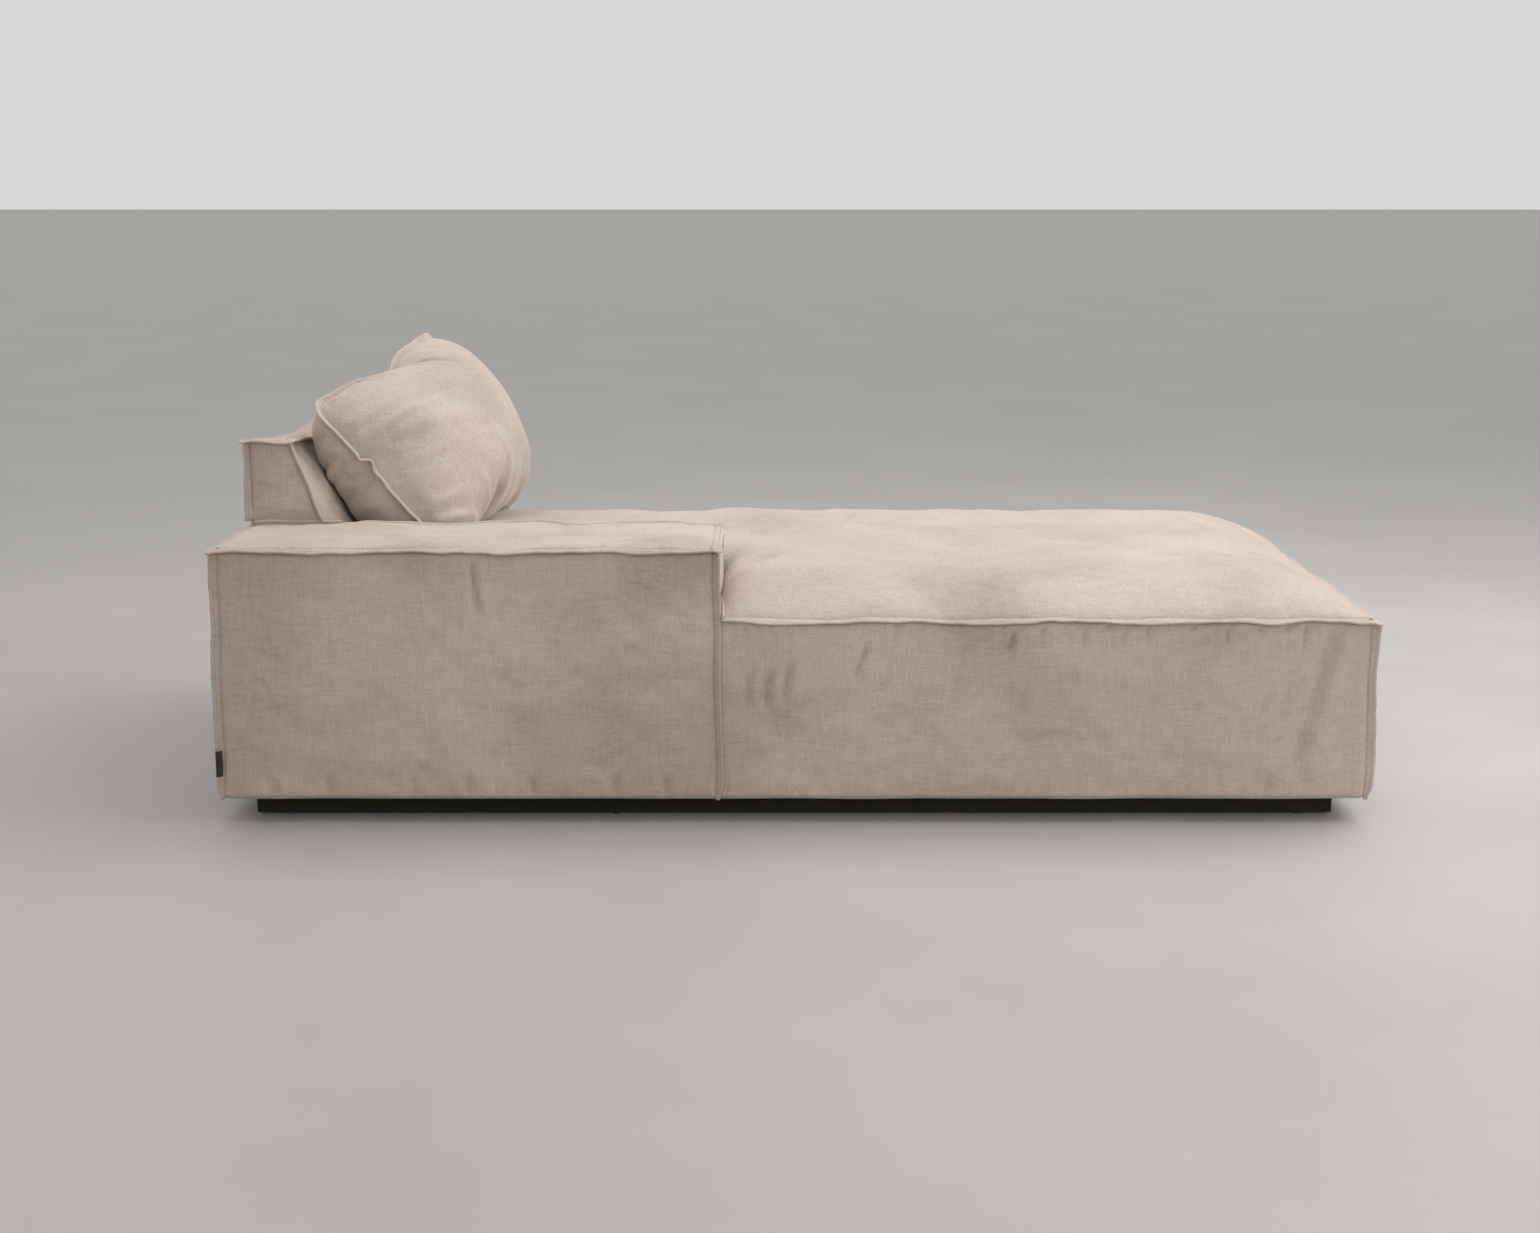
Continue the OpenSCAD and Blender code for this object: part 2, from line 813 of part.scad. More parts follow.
// Everything in front of a line that runs parallel to the sloping front, some depth behind it
module back_front_zone(depth) {
    translate([back_front_x - cover, seat_seam_height]) rotate(back_slope)
        translate([-depth, -huge / 2]) square([huge, huge]);
    translate([back_front_x - cover - depth, -huge / 2]) square([huge, huge]);
}

// The outline of the backrest's wooden sides
module back_board_outline() {
    difference() {
        translate([back_frame_rear, deck_top])
            square([back_seat_depth, back_frame_top - deck_top]);
        back_front_zone(back_foam + strap_thickness);
    }
}

module back_board_at(y) {
    color("burlywood") across(y, y + back_side_board) back_board_outline();
}

module back_side_arm() {
    back_board_at(back_core_y[0]);
}

module back_side_open() {
    back_board_at(back_core_y[1] - back_side_board);
}

module back_stile() {
    back_board_at(back_stile_y - back_side_board / 2);
}

// The two bays between the sides and the stile: the low and high Y of each
function back_bays() = [
    [back_core_y[0] + back_side_board, back_stile_y - back_side_board / 2],
    [back_stile_y + back_side_board / 2, back_core_y[1] - back_side_board]
];

module back_top_rails() {
    color("burlywood")
    for (bay = back_bays())
        across(bay[0], bay[1])
            intersection() {
                back_board_outline();
                translate([head_x, back_frame_top - back_top_rail]) square([back_seat_depth, back_top_rail]);
            }
}

module back_bottom_rails() {
    rear_x = back_frame_rear;
    color("burlywood")
    difference() {
        for (bay = back_bays())
            for (x = [rear_x, back_frame_front - back_rail])
                span([x, bay[0], deck_top], [x + back_rail, bay[1], deck_top + back_rail_height]);
        for (x = back_screw_x)
            for (y = back_screw_y)
                translate([x, y, deck_top - eps])
                    cylinder(r = screw_hole_r, h = back_rail_height + 2 * eps);
    }
}

module back_screws() {
    color("silver")
    for (x = back_screw_x)
        for (y = back_screw_y)
            translate([x, y, deck_top + back_rail_height]) lag_screw(screw_length);
}

module back_board_rear() {
    color([0.52, 0.37, 0.24])
    span(
        [back_frame_rear - rear_board, back_core_y[0], deck_top],
        [back_frame_rear, back_core_y[1], back_frame_top]
    );
}

// Straps over the sloping front of the wooden sides
module back_webbing() {
    slope_length = (back_frame_top - seat_seam_height) / cos(back_slope);
    depth = back_foam + strap_thickness;
    color("dimgray")
    translate([back_front_x - cover, 0, seat_seam_height]) rotate([0, -back_slope, 0])
        for (start = strap_starts(back_strap_low, slope_length - back_strap_top))
            translate([-depth, back_core_y[0], start])
                cube([strap_thickness, back_core_y[1] - back_core_y[0], strap_width]);
}

module back_foam_front() {
    color([0.93, 0.89, 0.72])
    across(back_core_y[0], back_core_y[1])
        intersection() {
            back_outline(cover, felt_top);
            back_front_zone(back_foam);
        }
}

module back_foam_top() {
    color([0.93, 0.89, 0.72])
    across(back_core_y[0], back_core_y[1])
        difference() {
            intersection() {
                back_outline(cover, felt_top);
                translate([head_x, back_frame_top]) square([back_seat_depth, back_top_foam]);
            }
            back_front_zone(back_foam);
        }
}

module back_side_padding(y, bottom) {
    color([0.90, 0.90, 0.88])
    across(y, y + back_side_pad) back_outline(cover, bottom);
}

module back_padding_arm_side() {
    back_side_padding(back_core_y[0] - back_side_pad, felt_top);
}

// Thin padding on the backrest's side, and the full padding over the deck rail below it
module back_padding_open_side() {
    back_side_padding(back_core_y[1], deck_top);
    color([0.90, 0.90, 0.88])
    span(
        [head_x + skin, frame_open_y, deck_bottom],
        [back_front_x - cover, open_y - cover, deck_top]
    );
}

// Thin padding behind the rear board, and the full padding behind the deck's head rail
module back_padding_rear() {
    color([0.90, 0.90, 0.88]) {
        span(
            [head_x + cover, back_core_y[0], deck_top],
            [head_x + cover + back_rear_pad, back_core_y[1], back_frame_top]
        );
        span(
            [head_x + cover, back_y[0] + cover, deck_bottom],
            [head_x + skin, open_y - cover, deck_top]
        );
    }
}

module back_cover() {
    color([0.64, 0.57, 0.51]) {
        difference() {
            across(back_y[0], back_y[1]) back_outline(0, felt_top);
            across(back_y[0] + cover, back_y[1] - cover) back_outline(cover, felt_top - eps);
        }
        span([head_x, back_y[0], plinth_height], [head_x + cover, open_y, felt_top]);
        span([head_x, open_y - cover, plinth_height], [back_front_x, open_y, felt_top]);
        seam_along_y(back_y[0] - lap_y, open_y + lap_y, head_x, back_height, -1);
        seam_along_x(head_x - lap_x, head_x + back_top_depth, back_y[0], back_height, -1);
        seam_along_x(head_x - lap_x, head_x + back_top_depth, open_y, back_height, 1);
        seam_up(head_x, back_y[0], arm_height + arm_crown + flange_stop, back_height, 225);
        seam_up(head_x, open_y, plinth_height, back_height, 135);
        seam_up_wall(
            back_front_x - flange_thickness / 2,
            open_y,
            plinth_height,
            seat_seam_height - flange_thickness,
            90
        );
        sloping_seam(back_y[0] - flange_reach, back_chord / 2);
        sloping_seam(open_y - cover, flange_thickness / 4);
    }
}

// The flanged seam between a side of the backrest and its sloping front
module sloping_seam(y, start) {
    translate([back_front_x - flange_thickness / 2, y, seat_seam_height])
        rotate([0, -back_slope, 0])
            translate([-flange_thickness, 0, start])
                cube([flange_thickness, flange_reach + cover, back_chord - start]);
}

module side_tag() {
    fin = flange_reach * sqrt(2);
    color([0.05, 0.05, 0.05])
    translate([head_x, arm_y, tag_bottom]) rotate([0, 0, 225])
        translate([1, flange_thickness / 2, 0])
            cube([fin - flange_thickness - tag_thickness, tag_thickness, tag_height]);
}

// ---- pillow ----

// One face of the pillow's outline: an arc standing on the seam plane, from some depth below it
module pillow_arc(radius, shift, inset, low) {
    intersection() {
        translate([0, -shift]) circle(r = radius - inset, $fn = wide_arc);
        translate([-radius, low]) square([2 * radius, radius]);
    }
}

// Half of the pillow, on one side of its seam plane, drawn in by an inset
module pillow_half(inset, low) {
    wide_shift = pillow_wide_r - pillow_wide_rise;
    intersection() {
        across(-pillow_width, pillow_width) pillow_arc(pillow_r, pillow_offset, inset, low);
        along(-pillow_height, pillow_height) pillow_arc(pillow_wide_r, wide_shift, inset, low);
    }
}

module pillow_place() {
    translate([pillow_x, pillow_y, pillow_z]) rotate([0, pillow_lean, 0]) children();
}

module pillow_filling() {
    color([0.95, 0.95, 0.94])
    pillow_place() {
        pillow_half(cover, 0);
        mirror([0, 0, 1]) pillow_half(cover, 0);
    }
}

// One of the two panels sewn together at the pillow's flanged seam
module pillow_panel() {
    outer = [pillow_height + 2 * flange_reach, pillow_width + 2 * flange_reach];
    inner = [pillow_height - cover, pillow_width - cover];
    color([0.64, 0.57, 0.51]) {
        difference() {
            pillow_half(0, 0);
            pillow_half(cover, -eps);
        }
        difference() {
            translate([-outer[0] / 2, -outer[1] / 2, 0])
                cube([outer[0], outer[1], flange_thickness / 2]);
            translate([-inner[0] / 2, -inner[1] / 2, -eps])
                cube([inner[0], inner[1], flange_thickness]);
        }
    }
}

module pillow_panel_front() {
    pillow_place() pillow_panel();
}

module pillow_panel_rear() {
    pillow_place() mirror([0, 0, 1]) pillow_panel();
}

floor_glides();
plinth_board_arm_side();
plinth_board_open_side();
plinth_board_head();
plinth_board_foot();
plinth_cross_boards();
plinth_corner_blocks();
plinth_screws();
dust_cover();
deck_rail_arm_side();
deck_rail_open_side();
deck_rail_head();
deck_rail_foot();
deck_rail_under_arm();
deck_rail_under_back();
deck_rail_arm_front();
deck_cross_rails();
deck_corner_blocks();
seat_webbing_cross();
seat_webbing_long();
seat_felt();
seat_foam_core();
seat_foam_topper();
seat_padding_arm_side();
seat_padding_open_side();
seat_padding_foot();
seat_cover();
arm_board_outer();
arm_board_inner();
arm_board_front();
arm_board_rear();
arm_board_top();
arm_board_base();
arm_padding_outer();
arm_padding_inner();
arm_padding_front();
arm_padding_rear();
arm_foam_top();
arm_cover();
arm_screws();
back_side_arm();
back_side_open();
back_stile();
back_top_rails();
back_bottom_rails();
back_board_rear();
back_webbing();
back_foam_front();
back_foam_top();
back_padding_arm_side();
back_padding_open_side();
back_padding_rear();
back_cover();
back_screws();
side_tag();
pillow_filling();
pillow_panel_front();
pillow_panel_rear();
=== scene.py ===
"""Looks of the daybed: velvet upholstery with flanged seams, a simulated pillow, and materials."""

import json
import math

import bmesh
import bpy
import numpy as np
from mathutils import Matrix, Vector


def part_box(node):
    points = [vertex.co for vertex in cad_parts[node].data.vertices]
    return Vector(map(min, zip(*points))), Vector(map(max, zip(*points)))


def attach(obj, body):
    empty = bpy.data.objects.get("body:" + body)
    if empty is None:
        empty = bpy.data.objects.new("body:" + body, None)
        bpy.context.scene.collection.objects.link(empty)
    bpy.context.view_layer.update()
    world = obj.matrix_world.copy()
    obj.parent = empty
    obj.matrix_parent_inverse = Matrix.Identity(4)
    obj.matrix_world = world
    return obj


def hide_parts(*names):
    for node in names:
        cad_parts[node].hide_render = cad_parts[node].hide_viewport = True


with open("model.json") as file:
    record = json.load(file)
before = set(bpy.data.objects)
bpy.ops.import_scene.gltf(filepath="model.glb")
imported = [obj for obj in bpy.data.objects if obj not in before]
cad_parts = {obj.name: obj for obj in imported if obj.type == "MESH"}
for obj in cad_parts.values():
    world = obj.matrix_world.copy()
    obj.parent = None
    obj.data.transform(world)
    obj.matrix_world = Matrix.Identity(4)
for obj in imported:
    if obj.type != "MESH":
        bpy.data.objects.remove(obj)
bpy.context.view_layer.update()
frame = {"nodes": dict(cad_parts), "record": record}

# ---------------------------------------------------------------- sizes, from the frame

COVER = 0.002  # thickness of the cover over the foam
TOPPER_EDGE = 0.030  # foam topper below the seat's seam
ARM_FOAM = 0.030  # foam between the arm's wood and its seam

HEAD_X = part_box("arm_padding_outer")[0].x - COVER
FOOT_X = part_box("seat_padding_foot")[1].x + COVER
ARM_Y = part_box("arm_padding_outer")[0].y - COVER
OPEN_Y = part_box("seat_padding_open_side")[1].y + COVER
ARM_FRONT_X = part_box("arm_padding_outer")[1].x + COVER
ARM_INNER_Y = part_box("arm_padding_inner")[1].y + COVER
HEM_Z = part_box("dust_cover")[0].z
SEAM_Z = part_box("seat_foam_core")[1].z + TOPPER_EDGE
SEAT_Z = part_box("seat_foam_topper")[1].z + COVER
ARM_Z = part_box("arm_padding_outer")[1].z + ARM_FOAM + COVER
BACK_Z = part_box("back_foam_top")[1].z + COVER

BACK_DEPTH = 0.195  # depth of the backrest at the seat's seam
BACK_TOP_DEPTH = 0.079  # and at its top
BACK_SWELL = 0.036  # swell of its front panel
SHOULDER = 0.250  # run of the seat's rounded shoulder
FLARE = 0.008  # how far the covers spread at the hem
HEM_ROUND = 0.008  # radius of the fold at the hem
BACK_SAG = 0.019  # how far the backrest's top edge dips between its sides
BLOCK_GAP = 0.0015  # space between one upholstered block and the next

GRID = 0.0068  # spacing of the covers' points
FLANGE_WIDTH = 0.0150  # from the seam line to the flange's edge
FLANGE_THICK = 0.0050
DROOP = 0.16  # how far a flange round a top hangs, as a slope
TUCK = 0.0018  # how deep a seam sits, less than the cover is thick
TUCK_REACH = 0.0050
WHITE = (1.0, 1.0, 1.0)
FLOOR_SIZE = 240
CREASE_DEPTH = 3.2  # how much deeper every crease is cut than its own figure
FOAM_INSET = 0.012  # how far the shaped foam lies inside the cover
TOPPER_DROP = 0.014  # and the topper below the seat's surface
BACK_LIFT = 0.012  # how much the backrest's top rises at the arm
BACK_DROP = 0.008  # and falls towards the open side
STITCH_PITCH = 0.0056
STITCH_LENGTH = 0.0038


# ---------------------------------------------------------------- small maths


def waves(points, length, seed, count=12):
    """A smooth random field of unit strength: sine waves about one length, in all directions."""
    rng = np.random.default_rng(seed)
    points = np.asarray(points, float)
    total = np.zeros(points.shape[:-1])
    for _ in range(count):
        heading = rng.normal(size=points.shape[-1])
        heading /= np.linalg.norm(heading)
        pitch = 2 * math.pi / (length * rng.uniform(0.7, 1.5))
        total += np.sin(points @ heading * pitch + rng.uniform(0, 2 * math.pi))
    return total / math.sqrt(count / 2)


def line_waves(s, length, seed):
    return waves(np.asarray(s, float)[..., None], length, seed, count=9)


def unit(v):
    v = np.asarray(v, float)
    return v / np.maximum(np.linalg.norm(v, axis=-1, keepdims=True), 1e-9)


def smooth(x, low, high):
    t = np.clip((np.asarray(x, float) - low) / (high - low), 0, 1)
    return t * t * (3 - 2 * t)


def rise(distance, run, power=2.2):
    """0 at the edge, 1 from the end of the run on, rounded at the top."""
    return 1 - (1 - np.clip(distance / run, 0, 1)) ** power


def settle(distance, run):
    return 1 - np.exp(-np.maximum(distance, 0) / run)


def grid_lines(low, high, step, fine=()):
    """Coordinates from low to high, close together beside the places in fine."""
    near = (0.0, 0.002, 0.004, 0.006, 0.0085, 0.0115, 0.015, 0.020)
    marks = {round(f + s * n, 6) for f in fine for n in near for s in (-1, 1)}
    marks = sorted(m for m in marks if low <= m <= high)
    count = max(2, round((high - low) / step) + 1)
    even = [e for e in np.linspace(low, high, count) if all(abs(e - m) > 0.003 for m in marks)]
    return np.array(sorted({low, high, *marks, *even}))


def fold(a, b, start, end, width, depth):
    """A soft groove from start to end in a panel's own two coordinates; negative is a ridge."""
    start, end = np.array(start, float), np.array(end, float)
    along = end - start
    length = np.linalg.norm(along)
    along /= length
    da, db = a - start[0], b - start[1]
    t = (da * along[0] + db * along[1]) / length
    across = (-da * along[1] + db * along[0]) / width
    taper = smooth(t, -0.15, 0.25) * (1 - smooth(t, 0.7, 1.15))
    groove = np.exp(-(across**2)) - 0.45 * np.exp(-((across - 1.6) ** 2))
    groove -= 0.25 * np.exp(-((across + 1.7) ** 2))
    return -CREASE_DEPTH * depth * taper * groove


# ---------------------------------------------------------------- meshes


def mesh_object(name, points, faces):
    mesh = bpy.data.meshes.new(name)
    mesh.from_pydata([tuple(p) for p in points], [], [tuple(int(i) for i in f) for f in faces])
    work = bmesh.new()
    work.from_mesh(mesh)
    bmesh.ops.recalc_face_normals(work, faces=work.faces)
    work.to_mesh(mesh)
    work.free()
    for polygon in mesh.polygons:
        polygon.use_smooth = True
    piece = bpy.data.objects.new(name, mesh)
    bpy.context.scene.collection.objects.link(piece)
    return piece


def subdivide(piece, level):
    modifier = piece.modifiers.new("subdivision", "SUBSURF")
    modifier.levels = modifier.render_levels = level
    apply_modifiers(piece)


def apply_modifiers(piece):
    graph = bpy.context.evaluated_depsgraph_get()
    done = bpy.data.meshes.new_from_object(piece.evaluated_get(graph))
    piece.modifiers.clear()
    old = piece.data
    piece.data = done
    bpy.data.meshes.remove(old)
    for polygon in piece.data.polygons:
        polygon.use_smooth = True


class Block:
    """A closed upholstered block sewn from panels. Panels share the points of their edges,
    which are matched by where they lie before any swelling or wrinkling."""

    def __init__(self):
        self.flat, self.shaped, self.faces, self.count = [], [], [], 0

    def panel(self, flat, shaped, keep=None):
        rows, columns = flat.shape[:2]
        index = self.count + np.arange(rows * columns).reshape(rows, columns)
        quads = np.stack([index[:-1, :-1], index[1:, :-1], index[1:, 1:], index[:-1, 1:]], -1)
        if keep is not None:
            quads = quads[keep]
        self.flat.append(flat.reshape(-1, 3))
        self.shaped.append(shaped.reshape(-1, 3))
        self.faces.append(quads.reshape(-1, 4))
        self.count += rows * columns

    def build(self, name, seams=()):
        flat = np.round(np.concatenate(self.flat), 5)
        shaped = np.concatenate(self.shaped)
        for start, end, inward in seams:
            start, along = np.array(start, float), np.subtract(end, start)
            share = np.clip((flat - start) @ along / (along @ along), 0, 1)
            away = np.linalg.norm(flat - start - share[:, None] * along, axis=1)
            shaped = shaped + TUCK * np.exp(-((away / TUCK_REACH) ** 2))[:, None] * unit(inward)
        faces = np.concatenate(self.faces)
        _, first, where = np.unique(flat, axis=0, return_index=True, return_inverse=True)
        faces = where.reshape(-1)[faces]
        used = np.unique(faces)
        renumber = np.full(len(first), -1)
        renumber[used] = np.arange(len(used))
        return mesh_object(name, shaped[first[used]], renumber[faces])


def plane(axis, place, first, second):
    """A flat grid of points across one axis, from the coordinates along the other two."""
    a, b = np.meshgrid(first, second, indexing="ij")
    points = np.zeros(a.shape + (3,))
    others = [i for i in range(3) if i != axis]
    points[..., axis] = place
    points[..., others[0]] = a
    points[..., others[1]] = b
    return points, a, b


def taut(a, b, seed, crown=0.006, puff=0.0065, drift=0.0014, gather=(0.0, 0.0, 0.0, 0.0)):
    """How far a sewn panel stands out from flat: a crown, a quick swell beside its seams, slow
    unevenness, and gathers at its edges (low a, high a, low b, high b)."""
    edges = [a - a.min(), a.max() - a, b - b.min(), b.max() - b]
    along = [b, b, a, a]
    nearest = np.minimum.reduce(edges)
    middle = (4 * edges[0] * edges[1] / (a.max() - a.min()) ** 2) ** 0.5
    middle *= (4 * edges[2] * edges[3] / (b.max() - b.min()) ** 2) ** 0.5
    pinned = settle(nearest, 0.006)
    out = crown * middle + puff * settle(nearest, 0.006)
    out += drift * pinned * waves(np.stack([a, b], -1), 0.22, seed)
    out += 0.35 * drift * pinned * waves(np.stack([a, b], -1), 0.06, seed + 1)
    for number, (edge, run, amount) in enumerate(zip(edges, along, gather)):
        if amount:
            patchy = 0.35 + 0.65 * smooth(line_waves(run, 0.30, seed + 20 + number), -0.6, 0.9)
            reach = 0.028 + 0.022 * smooth(line_waves(run, 0.09, seed + 30 + number), -1, 1)
            ripple = line_waves(run + 0.25 * edge * np.sin(run * 9), 0.034, seed + 10 + number)
            out += amount * pinned * patchy * ripple * np.exp(-edge / reach)
    return out


def held(out):
    """A crease goes no deeper inward than half the cover's thickness."""
    return np.maximum(out, -0.5 * COVER)


# ---------------------------------------------------------------- the covers' common shape


def spread(points):
    """The covers are pulled in at their tops and flare a little towards the hem, and their seams
    wander. Every panel and every flange goes through this, so they stay together."""
    points = np.array(points, float)
    x, y, z = points[..., 0].copy(), points[..., 1].copy(), points[..., 2].copy()
    low = np.clip((ARM_Z - z) / (ARM_Z - HEM_Z), 0, 1)
    points[..., 0] += low * np.interp(x, [HEAD_X, ARM_FRONT_X, FOOT_X], [-FLARE, 0.75 * FLARE, FLARE])
    points[..., 1] += low * np.interp(y, [ARM_Y, OPEN_Y], [-FLARE, FLARE])
    upright = smooth(z, HEM_Z, HEM_Z + 0.1)
    points[..., 2] += 0.0016 * upright * line_waves(x + 0.7 * y, 0.34, 3)
    points[..., 2] += 0.0007 * upright * line_waves(x - 0.4 * y, 0.11, 4)
    high = smooth(z, ARM_Z, BACK_Z)
    points[..., 2] += BACK_LIFT * high * (1 - smooth(y, ARM_INNER_Y, ARM_INNER_Y + 0.30))
    points[..., 2] -= BACK_DROP * high * smooth(y, ARM_INNER_Y + 0.15, ARM_INNER_Y + 0.50)
    points[..., 0] += 0.0010 * line_waves(z + 0.2 * y, 0.20, 5)
    points[..., 1] += 0.0012 * line_waves(x + 0.3 * z, 0.28, 6)
    return points


def hem_fold(points, low_x, high_x, low_y, high_y):
    """Rounds the bottom edge: nothing near the hem lies outside a rounded rectangle."""
    depth = np.clip((HEM_Z + HEM_ROUND - points[..., 2]) / HEM_ROUND, 0, 1)
    inset = HEM_ROUND * (1 - np.sqrt(1 - depth**2))
    inset *= depth > 0
    for axis, low, high in ((0, low_x, high_x), (1, low_y, high_y)):
        place = points[..., axis]
        points[..., axis] = np.where(depth > 0, np.clip(place, low + inset, high - inset), place)
    return points


def underside(points, low_x, high_x, low_y, high_y):
    """The cover turns under the frame in a narrow band; past it the bottom lies a little higher."""
    edge = np.minimum.reduce([
        points[..., 0] - low_x, high_x - points[..., 0], points[..., 1] - low_y, high_y - points[..., 1]
    ])
    points[..., 2] += 0.0026 * smooth(edge, 0.022, 0.026) - 0.0006 * smooth(edge, 0.0, 0.004)
    return points


# ---------------------------------------------------------------- seat


def seat_height(x, y):
    """Height of the crowned seat: it comes down to the seam at its open edges, and tucks down
    beside the arm and the backrest."""
    to_arm = np.hypot(np.maximum(x - ARM_FRONT_X, 0), np.maximum(y - ARM_INNER_Y, 0))
    to_back = x - (HEAD_X + BACK_DEPTH)
    before_arm = smooth(x, ARM_FRONT_X - 0.002, ARM_FRONT_X)
    near = np.where(before_arm > 0.5, y - ARM_Y, 1.0)
    crown = rise(FOOT_X - x, SHOULDER) * rise(OPEN_Y - y, SHOULDER) * rise(near, SHOULDER)
    slow = 0.0020 * waves(np.stack([x, y], -1), 0.42, 41) + 0.0015 * waves(np.stack([x, y], -1), 0.16, 42)
    lift = (SEAT_Z - SEAM_Z) * crown + slow * crown
    edge = np.minimum.reduce([FOOT_X - x, OPEN_Y - y, near])
    lift += 0.006 * settle(edge, 0.010) * np.exp(-edge / 0.10)
    gathered = 0.0011 * line_waves(x, 0.032, 43) * np.exp(-near / 0.030)
    gathered += 0.0011 * line_waves(y, 0.032, 44) * np.exp(-(FOOT_X - x) / 0.030)
    lift += gathered * settle(edge, 0.006)
    lift += fold(x, y, (ARM_FRONT_X + 0.012, ARM_Y + 0.15), (ARM_FRONT_X + 0.13, ARM_Y + 0.27), 0.018, 0.0030)
    lift *= settle(to_arm, 0.020) * settle(to_back, 0.012)
    return SEAM_Z + lift


# creases in the seat's long side: start and end as shares of its length and depth, width, depth
SEAT_CREASES = [
    ((0.085, 0.28), (0.075, 0.48), 0.010, 0.0028),
    ((0.115, 0.22), (0.105, 0.45), 0.009, 0.0024),
    ((0.050, 0.30), (0.048, 0.50), 0.009, 0.0018),
    ((0.232, 0.14), (0.212, 0.32), 0.008, 0.0026),
    ((0.455, 0.05), (0.447, 0.17), 0.007, 0.0036),
]
FOOT_CREASES = [
    ((0.945, 0.06), (0.915, 0.47), 0.016, 0.0042),
    ((0.918, 0.42), (0.880, 0.92), 0.018, 0.0034),
]


def seat_block(name):
    block = Block()
    back_x = HEAD_X + BACK_DEPTH + 0.010
    arm_x, arm_y = ARM_FRONT_X + BLOCK_GAP, ARM_INNER_Y + BLOCK_GAP
    xs = grid_lines(back_x, FOOT_X, GRID, (back_x, arm_x, FOOT_X))
    ys = grid_lines(ARM_Y, OPEN_Y, GRID, (ARM_Y, arm_y, OPEN_Y))
    zs = grid_lines(HEM_Z, SEAM_Z, GRID, (HEM_Z, SEAM_Z))
    front_xs, side_ys = xs[xs >= arm_x - 1e-9], ys[ys >= arm_y - 1e-9]
    body = (HEAD_X, FOOT_X, ARM_Y, OPEN_Y)

    def cells(a, b):
        middle_x, middle_y = (a[:-1] + a[1:]) / 2, (b[:-1] + b[1:]) / 2
        mx, my = np.meshgrid(middle_x, middle_y, indexing="ij")
        return ~((mx < arm_x) & (my < arm_y))

    flat, a, b = plane(2, SEAM_Z, xs, ys)
    top = flat.copy()
    top[..., 2] = seat_height(a, b)
    block.panel(flat, spread(top), cells(xs, ys))

    flat, a, b = plane(1, ARM_Y, front_xs, zs)
    out = taut(a, b, 50, crown=0.006, gather=(0.0004, 0.0004, 0.0016, 0.0022))
    length = FOOT_X - ARM_FRONT_X
    depth = SEAM_Z - HEM_Z

    def at(share, drop):
        return ARM_FRONT_X + share * length, SEAM_Z - drop * depth

    for start, end, width, deep in SEAT_CREASES:
        out += fold(a, b, at(*start), at(*end), width, deep)
    for number, share in enumerate((0.50, 0.565, 0.60, 0.625, 0.66, 0.73, 0.78, 0.83, 0.87, 0.90)):
        tail = 0.10 + 0.05 * math.sin(number * 2.3)
        out += fold(a, b, at(share, 0.008 / depth), at(share - 0.006, tail), 0.006, 0.0019)
    for start, end, width, deep in FOOT_CREASES:
        out += fold(a, b, at(*start), at(*end), width, deep)
    shaped = flat.copy()
    shaped[..., 1] -= held(out)
    block.panel(flat, spread(hem_fold(shaped, *body)))

    flat, a, b = plane(1, OPEN_Y, xs, zs)
    out = taut(a, b, 60, crown=0.006, gather=(0.0004, 0.0004, 0.0016, 0.0022))
    shaped = flat.copy()
    shaped[..., 1] += held(out)
    block.panel(flat, spread(hem_fold(shaped, *body)))

    flat, a, b = plane(0, FOOT_X, ys, zs)
    out = taut(a, b, 70, crown=0.007, gather=(0.0004, 0.0004, 0.0016, 0.0022))
    shaped = flat.copy()
    shaped[..., 0] += held(out)
    block.panel(flat, spread(hem_fold(shaped, *body)))

    for flat in (
        plane(0, arm_x, ys[ys <= arm_y + 1e-9], zs)[0],
        plane(1, arm_y, xs[xs <= arm_x + 1e-9], zs)[0],
        plane(0, back_x, side_ys, zs)[0],
    ):
        block.panel(flat, spread(hem_fold(flat.copy(), *body)))

    flat, a, b = plane(2, HEM_Z, xs, ys)
    block.panel(flat, spread(hem_fold(underside(flat.copy(), *body), *body)), cells(xs, ys))
    seams = [
        ((arm_x, ARM_Y, SEAM_Z), (FOOT_X, ARM_Y, SEAM_Z), (0, 1, -0.6)),
        ((FOOT_X, ARM_Y, SEAM_Z), (FOOT_X, OPEN_Y, SEAM_Z), (-1, 0, -0.6)),
        ((back_x, OPEN_Y, SEAM_Z), (FOOT_X, OPEN_Y, SEAM_Z), (0, -1, -0.6)),
        ((FOOT_X, ARM_Y, HEM_Z), (FOOT_X, ARM_Y, SEAM_Z), (-1, 1, 0)),
        ((FOOT_X, OPEN_Y, HEM_Z), (FOOT_X, OPEN_Y, SEAM_Z), (-1, -1, 0)),
    ]
    return block.build(name, seams)


